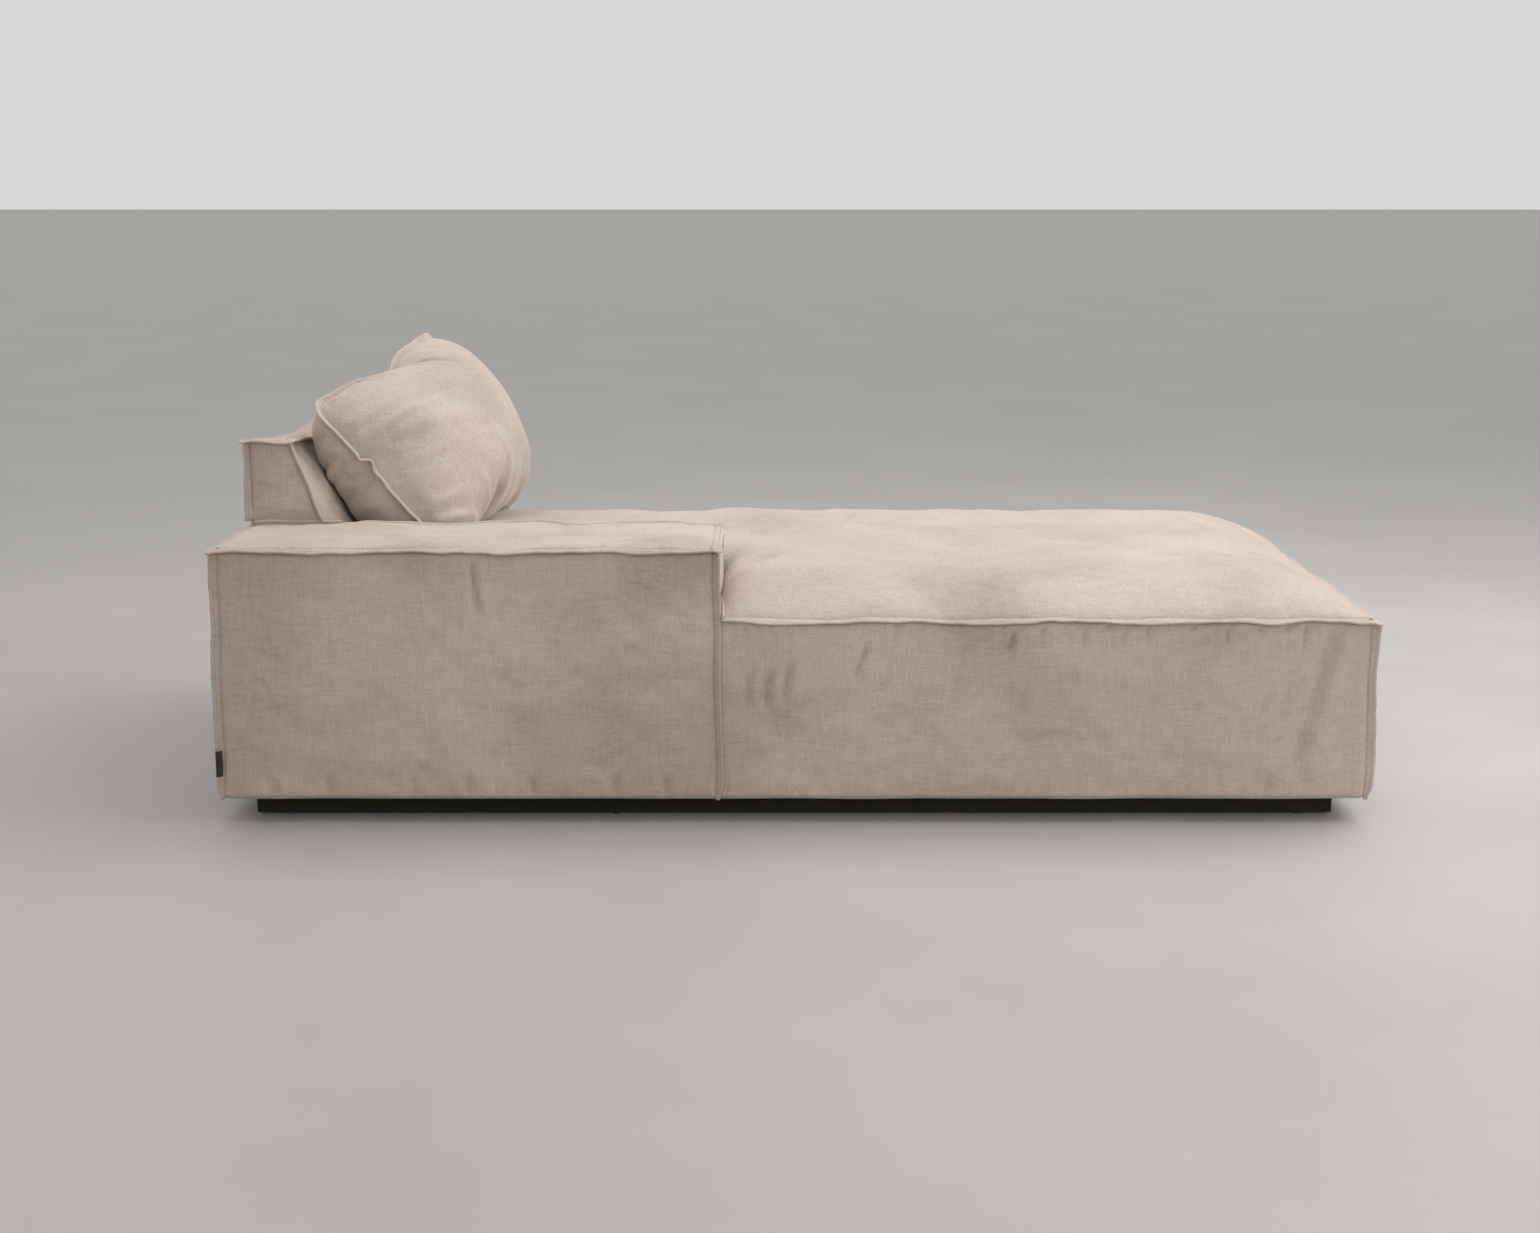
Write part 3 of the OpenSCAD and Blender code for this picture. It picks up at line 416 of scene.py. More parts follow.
def seat_topper(name):
    """The foam under the seat's cover, a little lower than the cover all over."""
    block = Block()
    low_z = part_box("seat_foam_topper")[0].z
    rim = 0.006
    back_x = HEAD_X + BACK_DEPTH + 0.010 + rim
    arm_x, arm_y = ARM_FRONT_X + BLOCK_GAP + rim, ARM_INNER_Y + BLOCK_GAP + rim
    xs = grid_lines(back_x, FOOT_X - rim, 0.03, (arm_x,))
    ys = grid_lines(ARM_Y + rim, OPEN_Y - rim, 0.03, (arm_y,))
    middle_x, middle_y = np.meshgrid((xs[:-1] + xs[1:]) / 2, (ys[:-1] + ys[1:]) / 2, indexing="ij")
    keep = ~((middle_x < arm_x) & (middle_y < arm_y))
    flat, a, b = plane(2, SEAM_Z, xs, ys)
    top = flat.copy()
    top[..., 2] = np.maximum(seat_height(a, b) - TOPPER_DROP, low_z + 0.01)
    block.panel(flat, spread(top), keep)
    floor, _, _ = plane(2, low_z, xs, ys)
    block.panel(floor, spread(floor), keep)
    piece = block.build(name)
    work = bmesh.new()
    work.from_mesh(piece.data)
    rims = [e for e in work.edges if e.is_boundary]
    bmesh.ops.bridge_loops(work, edges=rims)
    bmesh.ops.recalc_face_normals(work, faces=work.faces)
    work.to_mesh(piece.data)
    work.free()
    return piece


# ---------------------------------------------------------------- arm


def arm_block(name, inset=0.0, low_z=None):
    block = Block()
    low_x, high_x = HEAD_X + inset, ARM_FRONT_X - inset
    low_y, high_y = ARM_Y + inset, ARM_INNER_Y - inset
    high_z = ARM_Z - inset
    low_z = HEM_Z if low_z is None else low_z
    covering = inset == 0.0
    xs = grid_lines(low_x, high_x, GRID, (low_x, high_x))
    ys = grid_lines(low_y, high_y, GRID, (low_y, high_y))
    zs = grid_lines(low_z, high_z, GRID, (low_z, high_z))
    body = (HEAD_X, FOOT_X, ARM_Y, OPEN_Y)
    finish = (lambda p: spread(hem_fold(p, *body))) if covering else spread

    flat, a, b = plane(2, high_z, xs, ys)
    out = taut(a, b, 80, crown=0.008, puff=0.004, gather=(0.0008, 0.0008, 0.0009, 0.0006))
    top = flat.copy()
    top[..., 2] += held(out)
    block.panel(flat, finish(top))

    flat, a, b = plane(1, low_y, xs, zs)
    out = taut(a, b, 90, crown=0.006, gather=(0.0005, 0.0005, 0.0018, 0.0009))
    if covering:
        start = low_x + 0.515 * (high_x - low_x)
        out += fold(a, b, (start, high_z - 0.022), (start + 0.010, high_z - 0.125), 0.008, 0.0030)
        for number in range(7):
            s = low_x + (0.10 + 0.135 * number + 0.02 * math.sin(number * 4.1)) * (high_x - low_x)
            out += fold(a, b, (s, HEM_Z + 0.006), (s - 0.006, HEM_Z + 0.05), 0.010, 0.0020)
    side = flat.copy()
    side[..., 1] -= held(out)
    block.panel(flat, finish(side))

    flat, a, b = plane(1, high_y, xs, zs)
    free = smooth(b, SEAM_Z + 0.05, SEAM_Z + 0.10) * smooth(a, HEAD_X + BACK_DEPTH, HEAD_X + BACK_DEPTH + 0.1)
    side = flat.copy()
    side[..., 1] += free * taut(a, b, 100, crown=0.006)
    block.panel(flat, finish(side))

    flat, a, b = plane(0, low_x, ys, zs)
    end = flat.copy()
    end[..., 0] -= taut(a, b, 110, crown=0.005, gather=(0, 0, 0.0008, 0.0006)) * smooth(high_y - a, 0, 0.03)
    block.panel(flat, finish(end))

    flat, a, b = plane(0, high_x, ys, zs)
    free = smooth(b, SEAM_Z - 0.012, SEAM_Z + 0.05)
    end = flat.copy()
    end[..., 0] += free * taut(a, b, 120, crown=0.010, puff=0.005, gather=(0.0008, 0.0008, 0, 0.0008))
    block.panel(flat, finish(end))

    flat, a, b = plane(2, low_z, xs, ys)
    under = underside(flat.copy(), *body) if covering else flat.copy()
    block.panel(flat, finish(under))
    seams = [
        ((low_x, low_y, high_z), (high_x, low_y, high_z), (0, 1, -0.6)),
        ((high_x, low_y, high_z), (high_x, high_y, high_z), (-1, 0, -0.6)),
        ((low_x, high_y, high_z), (high_x, high_y, high_z), (0, -1, -0.6)),
        ((low_x, low_y, high_z), (low_x, high_y, high_z), (1, 0, -0.6)),
        ((low_x, low_y, low_z), (low_x, low_y, high_z), (1, 1, 0)),
        ((high_x, low_y, low_z), (high_x, low_y, high_z), (-1, 1, 0)),
        ((high_x, high_y, SEAM_Z), (high_x, high_y, high_z), (-1, -1, 0)),
    ]
    return block.build(name, seams if covering else ())


# ---------------------------------------------------------------- backrest


def back_depth(z):
    return np.interp(z, [HEM_Z, SEAM_Z, BACK_Z], [BACK_DEPTH, BACK_DEPTH, BACK_TOP_DEPTH])


def back_swell(y, z, low_y, high_y):
    """How far the backrest's front panel stands out beyond the line between its side seams."""
    down = np.clip((BACK_Z - z) / (BACK_Z - SEAM_Z), 0, 1)
    profile = np.sin(math.pi * down**1.25) ** 0.95
    side = np.minimum(y - low_y, high_y - y)
    return BACK_SWELL * profile * settle(side, 0.030)


def back_block(name, inset=0.0, low_z=None, low_share=0.0, high_share=1.0):
    """The backrest. x is a share of its depth, from 0 at the rear to 1 at the sloping front."""
    block = Block()
    low_y, high_y = ARM_INNER_Y + BLOCK_GAP + inset, OPEN_Y - inset
    high_z = BACK_Z - inset
    low_z = HEM_Z if low_z is None else low_z
    covering = inset == 0.0
    evenly = [*np.linspace(0, 1, 14), 0.02, 0.045, 0.955, 0.98]
    us = np.array(sorted({low_share, high_share, *[u for u in evenly if low_share < u < high_share]}))
    ys = grid_lines(low_y, high_y, GRID, (low_y, high_y))
    zs = grid_lines(low_z, high_z, GRID, (low_z, SEAM_Z, high_z))
    body = (HEAD_X, FOOT_X, ARM_Y, OPEN_Y)

    def place(points):
        points = points.copy()
        depth = back_depth(points[..., 2]) - 2 * inset
        beyond = np.maximum(points[..., 0] - 1, 0)
        points[..., 0] = HEAD_X + inset + np.clip(points[..., 0], 0, 1) * depth + beyond
        across = np.clip((points[..., 1] - low_y) / (high_y - low_y), 0, 1)
        upper = smooth(points[..., 2], SEAM_Z + 0.06, BACK_Z)
        points[..., 2] -= BACK_SAG * upper * np.sin(math.pi * across**0.85) ** 0.7
        return spread(hem_fold(points, *body)) if covering else spread(points)

    flat, a, b = plane(2, high_z, us, ys)
    top = flat.copy()
    top[..., 2] += taut(a * BACK_TOP_DEPTH, b, 130, crown=0.006, puff=0.0035, gather=(0.0006, 0.0006, 0, 0))
    block.panel(flat, place(top))

    for side, y, seed in ((-1, low_y, 140), (1, high_y, 150)):
        flat, a, b = plane(1, y, us, zs)
        out = taut(a * BACK_DEPTH, b, seed, crown=0.004, puff=0.0035)
        if side < 0:
            out *= smooth(b, ARM_Z + 0.005, ARM_Z + 0.04)
        elif not covering:
            out *= 0
        panel = flat.copy()
        panel[..., 1] += side * out
        block.panel(flat, place(panel))

    flat, a, b = plane(0, low_share, ys, zs)
    rear = place(flat)
    if low_share == 0.0:
        rear[..., 0] -= taut(a, b, 160, crown=0.006, gather=(0, 0, 0.0008, 0.0008))
    block.panel(flat, rear)

    flat, a, b = plane(0, high_share, ys, zs)
    front = flat.copy()
    swell = back_swell(a, b, low_y, high_y) * (high_share == 1.0)
    free = settle(np.minimum(a - low_y, high_y - a), 0.01)
    free = free * smooth(b, SEAM_Z + 0.02, SEAM_Z + 0.1) * smooth(high_z - b, 0, 0.02)
    spots = np.stack([a, b], -1)
    swell += free * (0.0025 * waves(spots, 0.13, 161) + 0.001 * waves(spots, 0.05, 162))
    front[..., 0] += np.maximum(swell, 0)
    block.panel(flat, place(front))

    flat, a, b = plane(2, low_z, us, ys)
    shaped = place(flat)
    if covering:
        shaped = underside(shaped, *body)
    block.panel(flat, shaped)
    seams = [
        ((0, low_y, high_z), (1, low_y, high_z), (0, 1, -0.6)),
        ((0, high_y, high_z), (1, high_y, high_z), (0, -1, -0.6)),
        ((0, low_y, high_z), (0, high_y, high_z), (1, 0, -0.6)),
        ((1, low_y, high_z), (1, high_y, high_z), (-1, 0, -0.6)),
        ((0, low_y, ARM_Z), (0, low_y, high_z), (1, 1, 0)),
        ((0, high_y, low_z), (0, high_y, high_z), (1, -1, 0)),
        ((1, low_y, SEAM_Z), (1, low_y, high_z), (-1, 1, 0)),
        ((1, high_y, low_z), (1, high_y, high_z), (-1, -1, 0)),
    ]
    return block.build(name, seams if covering else ())


def back_side_pad(name, node):
    """Wadding on one side of the backrest, inside the cover's own outline."""
    low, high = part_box(node)
    rim = FOAM_INSET
    seam = (HEAD_X + BACK_DEPTH - rim, SEAM_Z)
    top = BACK_Z - rim
    rear = HEAD_X + rim
    outline = [(rear, low.z), (seam[0], low.z), seam, (HEAD_X + BACK_TOP_DEPTH - rim, top), (rear, top)]
    y = (max(low.y, OPEN_Y - 0.012) + 0.002, high.y) if high.y > 0 else (low.y, high.y)
    points = [(x, side, z) for side in y for x, z in outline]
    count = len(outline)
    faces = [tuple(range(count)), tuple(range(count, 2 * count))]
    for i in range(count):
        j = (i + 1) % count
        faces.append((i, j, count + j, count + i))
    piece = mesh_object(name, points, faces)
    for polygon in piece.data.polygons:
        polygon.use_smooth = False
    return piece


# ---------------------------------------------------------------- flanges and their stitching


def seam_path(corners, outs, step=0.006, closed=False):
    """Points along a seam and the way its flange points at each. At a corner the flange fans
    round from one direction to the next."""
    points, ways = [], []
    count = len(corners) if closed else len(corners) - 1
    for i in range(count):
        start, end = np.array(corners[i], float), np.array(corners[(i + 1) % len(corners)], float)
        way = unit(outs[i])
        steps = max(2, int(np.linalg.norm(end - start) / step))
        for t in np.linspace(0, 1, steps + 1):
            points.append(start + (end - start) * t)
            ways.append(way)
        last = i == count - 1
        if not last or closed:
            following = unit(outs[(i + 1) % len(outs)])
            for t in (0.25, 0.5, 0.75):
                points.append(end)
                ways.append(unit(way * (1 - t) + following * t) * (1 + 0.45 * math.sin(math.pi * t)))
    return np.array(points), np.array(ways)


def flange(name, points, ways, seed, closed=False, width=FLANGE_WIDTH, wobble=1.0):
    """A doubled strip of cover standing out from a seam, with a row of top-stitching."""
    points, ways = np.array(points, float), np.array(ways, float)
    ahead = np.roll(points, -1, 0) - np.roll(points, 1, 0)
    if not closed:
        ahead[0], ahead[-1] = points[1] - points[0], points[-1] - points[-2]
    still = np.linalg.norm(ahead, axis=1) < 1e-7
    ahead = unit(ahead)
    for i in np.nonzero(still)[0]:
        ahead[i] = ahead[i - 1]
    reach = np.linalg.norm(ways, axis=1)
    ways = unit(ways)
    smoothed = (np.roll(ahead, 1, 0) + ahead + np.roll(ahead, -1, 0)) / 3
    if not closed:
        smoothed[0], smoothed[-1] = ahead[0], ahead[-1]
    ahead = unit(smoothed)
    side = unit(np.cross(ahead, ways))
    steps = np.linalg.norm(np.diff(points, axis=0), axis=1)
    s = np.concatenate([[0], np.cumsum(steps)])
    total = s[-1] + (np.linalg.norm(points[0] - points[-1]) if closed else 0)
    join = np.ones(len(s))
    if closed:
        join = smooth(np.minimum(s, total - s), 0, 0.05)
    lean = wobble * join * (0.09 * line_waves(s, 0.26, seed) + 0.03 * line_waves(s, 0.070, seed + 1))
    uneven = 0.04 * line_waves(s, 0.20, seed + 2) + 0.015 * line_waves(s, 0.05, seed + 3)
    wide = width * reach * (1 + wobble * join * uneven)
    ways_now = ways * np.cos(lean)[:, None] + side * np.sin(lean)[:, None]
    side_now = unit(np.cross(ahead, ways_now))
    half = FLANGE_THICK / 2
    outline = [
        (-0.38, 0.50), (0.10, 0.72), (0.26, 1.0), (0.44, 0.92), (0.52, 0.62), (0.60, 0.90), (0.80, 1.0),
        (0.93, 0.78), (1.0, 0.30),
    ]
    ring = outline + [(a, -b) for a, b in reversed(outline)]
    rows = np.stack(
        [points + ways_now * (wide * a)[:, None] + side_now * (half * b) for a, b in ring], axis=1
    )
    n, k = len(points), len(ring)
    faces = []
    last = n if closed else n - 1
    for i in range(last):
        j = (i + 1) % n
        for q in range(k):
            r = (q + 1) % k
            faces.append((i * k + q, i * k + r, j * k + r, j * k + q))
    if not closed:
        faces += [tuple(range(k)), tuple(reversed(range((n - 1) * k, n * k)))]
    piece = mesh_object(name, rows.reshape(-1, 3), faces)
    velvet_piece(piece)
    stitches(name + "_stitches", points, ways_now, side_now, s, wide, half)
    return piece


def stitches(name, points, ways, side, s, wide, half):
    """Short threads along both faces of a flange, in its stitched groove."""
    made, faces = [], []
    starts = np.arange(0.004, s[-1] - 0.004, STITCH_PITCH)

    def at(values, places):
        return np.stack([np.interp(places, s, values[:, c]) for c in range(3)], -1)

    width = np.interp(starts, s, wide)
    for face in (1, -1):
        ends = []
        for shift, lift in ((0.0, 0.45), (0.5, 0.95), (1.0, 0.45)):
            places = starts + shift * STITCH_LENGTH
            base = at(points, places) + at(ways, places) * (0.52 * width)[:, None]
            ends.append((base + at(side, places) * face * half * lift, at(ways, places), at(side, places)))
        for i in range(len(starts)):
            first = len(made)
            for centre, way, out in ends:
                for a, b in ((0.00045, 0.0), (0.0, face * 0.0004), (-0.00045, 0.0), (0.0, -face * 0.0003)):
                    made.append(centre[i] + way[i] * a + out[i] * b)
            for ring in (0, 4):
                for q in range(4):
                    here, there = first + ring + q, first + ring + (q + 1) % 4
                    faces.append((here, there, there + 4, here + 4))
            faces.append((first, first + 1, first + 2, first + 3))
            faces.append((first + 8, first + 9, first + 10, first + 11))
    piece = mesh_object(name, made, faces)
    piece.data.materials.append(thread)
    current_rider(piece)
    return piece


# ---------------------------------------------------------------- materials


def new_material(name):
    material = bpy.data.materials.new(name)
    material.use_nodes = True
    graph = material.node_tree
    graph.nodes.clear()
    output = graph.nodes.new("ShaderNodeOutputMaterial")
    shader = graph.nodes.new("ShaderNodeBsdfPrincipled")
    graph.links.new(shader.outputs[0], output.inputs[0])
    return material, graph, shader


def texture(graph, kind, scale=1.0, stretch=(1, 1, 1), **settings):
    """A 3-D texture in the object's own metres, stretched along its axes."""
    place = graph.nodes.new("ShaderNodeTexCoord")
    mapping = graph.nodes.new("ShaderNodeMapping")
    mapping.inputs["Scale"].default_value = tuple(scale * s for s in stretch)
    node = graph.nodes.new(kind)
    for key, value in settings.items():
        node.inputs[key].default_value = value
    graph.links.new(place.outputs["Object"], mapping.inputs["Vector"])
    graph.links.new(mapping.outputs["Vector"], node.inputs["Vector"])
    if "Scale" in node.inputs:
        node.inputs["Scale"].default_value = 1.0
    return node


def noise(graph, size, stretch=(1, 1, 1), detail=2.0, rough=0.5, distortion=0.0):
    settings = {"Detail": detail, "Roughness": rough, "Distortion": distortion}
    return texture(graph, "ShaderNodeTexNoise", 1.0 / size, stretch, **settings).outputs["Fac"]


def wave(graph, scale, distortion, stretch=(1, 1, 1), bands="X"):
    """Even bands across one axis, slightly distorted."""
    node = texture(graph, "ShaderNodeTexWave", scale, stretch, Distortion=distortion, Detail=1.0)
    node.bands_direction = bands
    return node.outputs["Fac"]


def maths(graph, operation, first, second):
    node = graph.nodes.new("ShaderNodeMath")
    node.operation = operation
    for socket, value in zip(node.inputs, (first, second)):
        if isinstance(value, (int, float)):
            socket.default_value = value
        else:
            graph.links.new(value, socket)
    return node.outputs[0]


def greys(*stops):
    """Stops for a ramp of plain greys, each a place and a shade."""
    return [(place, (shade,) * 3) for place, shade in stops]


def ramp(graph, value, stops):
    node = graph.nodes.new("ShaderNodeValToRGB")
    graph.links.new(value, node.inputs[0])
    elements = node.color_ramp.elements
    while len(elements) < len(stops):
        elements.new(0.5)
    for element, (position, colour) in zip(elements, stops):
        element.position = position
        element.color = (*colour, 1)
    return node.outputs[0]


def mix(graph, factor, first, second, how="MIX"):
    node = graph.nodes.new("ShaderNodeMix")
    node.data_type = "RGBA"
    node.blend_type = how
    sockets = [s for s in node.inputs if s.enabled]
    for socket, value in zip(sockets, (factor, first, second)):
        if isinstance(value, (int, float)):
            socket.default_value = value
        elif isinstance(value, tuple):
            socket.default_value = (*value, 1)
        else:
            graph.links.new(value, socket)
    return next(o for o in node.outputs if o.enabled)


def bump(graph, shader, height, distance, strength=1.0):
    node = graph.nodes.new("ShaderNodeBump")
    node.inputs["Strength"].default_value = strength
    node.inputs["Distance"].default_value = distance
    graph.links.new(height, node.inputs["Height"])
    graph.links.new(node.outputs[0], shader.inputs["Normal"])


def velvet_material(name, tone=(0.50, 0.42, 0.372), contrast=1.0):
    """Short-pile velvet on a linen-like ground: fine crossed streaks, patches where the nap has
    been brushed the other way, and a soft sheen."""
    material, graph, shader = new_material(name)
    streak = 0.0042
    threads = [
        noise(graph, streak, stretch, detail=3.0, rough=0.6)
        for stretch in ((0.10, 1.0, 1.0), (1.0, 0.10, 1.0), (1.0, 1.0, 0.10))
    ]
    weave = maths(graph, "ADD", maths(graph, "ADD", threads[0], threads[1]), threads[2])
    weave = maths(graph, "MULTIPLY", weave, 1 / 3)
    grain = noise(graph, 0.0011, detail=1.0)
    nap = noise(graph, 0.30, (0.75, 1.0, 1.15), detail=3.0, rough=0.55, distortion=0.6)
    patches = noise(graph, 0.11, (0.8, 1.0, 1.25), detail=4.0, rough=0.6, distortion=1.0)
    dark = tuple(c * 0.86 for c in tone)
    light = tuple(min(1, c * 1.12) for c in tone)
    woven = ramp(graph, weave, [(0.38, dark), (0.5, tone), (0.62, light)])
    brushed = ramp(graph, nap, [(0.36, (0.88, 0.87, 0.86)), (0.52, WHITE), (0.66, (1.06, 1.06, 1.06))])
    stained = ramp(graph, patches, [(0.30, (0.87, 0.85, 0.83)), (0.42, WHITE), (1.0, WHITE)])
    colour = mix(graph, 1.0, woven, brushed, "MULTIPLY")
    colour = mix(graph, 0.8 * contrast, colour, stained, "MULTIPLY")
    shape = graph.nodes.new("ShaderNodeNewGeometry")
    # painted shade: the base colour is darkened where the surface is concave, in creases and hollows
    crease_shade = ramp(graph, shape.outputs["Pointiness"], [(0.38, (0.62, 0.57, 0.54)), (0.485, WHITE)])
    colour = mix(graph, 0.85, colour, crease_shade, "MULTIPLY")
    graph.links.new(colour, shader.inputs["Base Color"])
    gloss = ramp(graph, nap, greys((0.3, 0.92), (0.7, 0.78)))
    graph.links.new(gloss, shader.inputs["Roughness"])
    shader.inputs["Specular IOR Level"].default_value = 0.25
    shader.inputs["Sheen Weight"].default_value = 0.45
    shader.inputs["Sheen Roughness"].default_value = 0.42
    shader.inputs["Sheen Tint"].default_value = (1.0, 0.93, 0.87, 1)
    raised = maths(graph, "MULTIPLY", weave, 0.7)
    height = maths(graph, "ADD", raised, maths(graph, "MULTIPLY", grain, 0.3))
    bump(graph, shader, height, 0.0009, 0.55)
    return material


def thread_material():
    material, graph, shader = new_material("thread")
    twist = wave(graph, 900.0, 1.5)
    colour = ramp(graph, twist, [(0.0, (0.36, 0.29, 0.24)), (1.0, (0.56, 0.48, 0.41))])
    graph.links.new(colour, shader.inputs["Base Color"])
    shader.inputs["Roughness"].default_value = 0.55
    shader.inputs["Sheen Weight"].default_value = 0.2
    bump(graph, shader, twist, 0.0002, 0.6)
    return material


def cloth_material(name, tone, thread_size=0.0016, sheen=0.1, rough=0.85):
    """A plain woven cloth: two crossed sets of threads with some fibre noise."""
    material, graph, shader = new_material(name)
    warp = wave(graph, 0.32 / thread_size, 0.8, (1, 1, 0.2))
    weft = wave(graph, 0.32 / thread_size, 0.8, (1, 1, 0.2), "Y")
    threads = maths(graph, "MULTIPLY", warp, weft)
    fuzz = noise(graph, 0.02, detail=6.0, rough=0.7)
    dark = tuple(c * 0.55 for c in tone)
    colour = mix(graph, threads, dark, tone)
    worn = ramp(graph, fuzz, greys((0.3, 0.85), (0.7, 1.12)))
    graph.links.new(mix(graph, 1.0, colour, worn, "MULTIPLY"), shader.inputs["Base Color"])
    shader.inputs["Roughness"].default_value = rough
    shader.inputs["Sheen Weight"].default_value = sheen
    shader.inputs["Specular IOR Level"].default_value = 0.3
    bump(graph, shader, threads, 0.0004, 0.7)
    return material


def felt_material(name, tone, fibre=0.004, depth=0.0012, rough=0.95):
    """Needled felt or wadding: matted fibres, a few darker."""
    material, graph, shader = new_material(name)
    fibres = noise(graph, fibre, (1, 1, 1), detail=8.0, rough=0.75, distortion=2.0)
    clumps = noise(graph, fibre * 14, detail=4.0)
    dark, light = tuple(c * 0.72 for c in tone), tuple(min(1, c * 1.12) for c in tone)
    colour = ramp(graph, fibres, [(0.35, dark), (0.5, tone), (0.68, light)])
    blotch = ramp(graph, clumps, greys((0.3, 0.9), (0.7, 1.05)))
    graph.links.new(mix(graph, 1.0, colour, blotch, "MULTIPLY"), shader.inputs["Base Color"])
    shader.inputs["Roughness"].default_value = rough
    shader.inputs["Sheen Weight"].default_value = 0.25
    bump(graph, shader, fibres, depth, 0.6)
    return material


def foam_material():
    """Open-cell foam: small cells, cut faces a little uneven, yellowed in places."""
    material, graph, shader = new_material("foam_cells")
    cells = texture(graph, "ShaderNodeTexVoronoi", 1 / 0.0022).outputs["Distance"]
    aged = noise(graph, 0.25, detail=3.0)
    fresh = ramp(graph, aged, [(0.3, (0.86, 0.78, 0.52)), (0.65, (0.93, 0.88, 0.70))])
    # painted shade: the colour is darkened in the hollow centres of the cells
    pit_shade = ramp(graph, cells, greys((0.0, 0.62), (0.35, 1.0)))
    graph.links.new(mix(graph, 1.0, fresh, pit_shade, "MULTIPLY"), shader.inputs["Base Color"])
    shader.inputs["Roughness"].default_value = 0.9
    shader.inputs["Subsurface Weight"].default_value = 0.08
    shader.inputs["Subsurface Radius"].default_value = (0.004, 0.003, 0.002)
    bump(graph, shader, cells, 0.0008, 0.6)
    return material


def wood_material(name, early, late, ring=0.012, along=(0.06, 1.0, 1.0), rough=0.55, sheets=0.0):
    """Sawn wood with growth rings drawn out along the board, or thin sheets glued crosswise."""
    material, graph, shader = new_material(name)
    grain = noise(graph, ring, along, detail=5.0, rough=0.6, distortion=1.2)
    pores = noise(graph, 0.0016, (along[0] * 0.6, along[1], along[2]), detail=3.0)
    broad = noise(graph, ring * 9, along, detail=2.0)
    colour = ramp(graph, grain, [(0.34, late), (0.47, early), (0.53, late), (0.62, early)])
    pored = ramp(graph, pores, greys((0.36, 0.78), (0.5, 1.0)))
    colour = mix(graph, 1.0, colour, pored, "MULTIPLY")
    toned = ramp(graph, broad, greys((0.3, 0.88), (0.7, 1.06)))
    colour = mix(graph, 1.0, colour, toned, "MULTIPLY")
    if sheets:
        layers = wave(graph, 0.16 / sheets, 0.3, bands="Z")
        shaded = ramp(graph, layers, greys((0.0, 0.80), (0.5, 1.0)))
        colour = mix(graph, 0.4, colour, shaded, "MULTIPLY")
    graph.links.new(colour, shader.inputs["Base Color"])
    gloss = ramp(graph, pores, greys((0.3, rough + 0.18), (0.6, rough)))
    graph.links.new(gloss, shader.inputs["Roughness"])
    bump(graph, shader, maths(graph, "ADD", grain, pores), 0.0004, 0.35)
    return material


def plinth_material():
    """Black-painted boards: brush marks, dust towards the floor, paint rubbed thin at the edges."""
    material, graph, shader = new_material("plinth_black")
    marks = noise(graph, 0.005, (0.05, 0.05, 1.0), detail=4.0)
    dust = noise(graph, 0.09, (1, 1, 1), detail=5.0, rough=0.65)
    place = graph.nodes.new("ShaderNodeTexCoord")
    parts = graph.nodes.new("ShaderNodeSeparateXYZ")
    graph.links.new(place.outputs["Object"], parts.inputs[0])
    height = maths(graph, "MULTIPLY", parts.outputs[2], 1 / HEM_Z)
    low = ramp(graph, height, greys((0.0, 1), (0.45, 0)))
    dusty = mix(graph, 1.0, low, ramp(graph, dust, greys((0.42, 0), (0.7, 1))), "MULTIPLY")
    paint = ramp(graph, marks, [(0.3, (0.004, 0.004, 0.004)), (0.7, (0.008, 0.0078, 0.0075))])
    colour = mix(graph, dusty, paint, (0.022, 0.020, 0.018))
    bare = graph.nodes.new("ShaderNodeNewGeometry")
    worn = ramp(graph, bare.outputs["Pointiness"], greys((0.54, 0), (0.60, 1)))
    colour = mix(graph, maths(graph, "MULTIPLY", worn, 0.3), colour, (0.06, 0.05, 0.04))
    graph.links.new(colour, shader.inputs["Base Color"])
    graph.links.new(ramp(graph, dust, greys((0.35, 0.42), (0.7, 0.68))), shader.inputs["Roughness"])
    shader.inputs["Specular IOR Level"].default_value = 0.1
    bump(graph, shader, marks, 0.0003, 0.5)
    return material


def steel_material():
    """Zinc-plated steel: faint crystals, fine turning marks, a few dull spots."""
    material, graph, shader = new_material("zinc")
    crystals = texture(graph, "ShaderNodeTexVoronoi", 1 / 0.0025).outputs["Color"]
    spots = noise(graph, 0.004, detail=4.0)
    tint = mix(graph, 0.10, (0.68, 0.68, 0.66), crystals)
    dull = ramp(graph, spots, greys((0.35, 0.72), (0.6, 1.0)))
    graph.links.new(mix(graph, 1.0, tint, dull, "MULTIPLY"), shader.inputs["Base Color"])
    shader.inputs["Metallic"].default_value = 1.0
    graph.links.new(ramp(graph, spots, greys((0.3, 0.5), (0.7, 0.28))), shader.inputs["Roughness"])
    bump(graph, shader, spots, 0.0001, 0.4)
    return material


def nylon_material():
    material, graph, shader = new_material("glide_nylon")
    scuffs = noise(graph, 0.003, (1, 1, 0.3), detail=6.0, rough=0.7)
    colour = ramp(graph, scuffs, [(0.4, (0.022, 0.022, 0.024)), (0.7, (0.06, 0.058, 0.056))])
    graph.links.new(colour, shader.inputs["Base Color"])
    graph.links.new(ramp(graph, scuffs, greys((0.4, 0.38), (0.7, 0.65))), shader.inputs["Roughness"])
    bump(graph, shader, scuffs, 0.0002, 0.5)
    return material


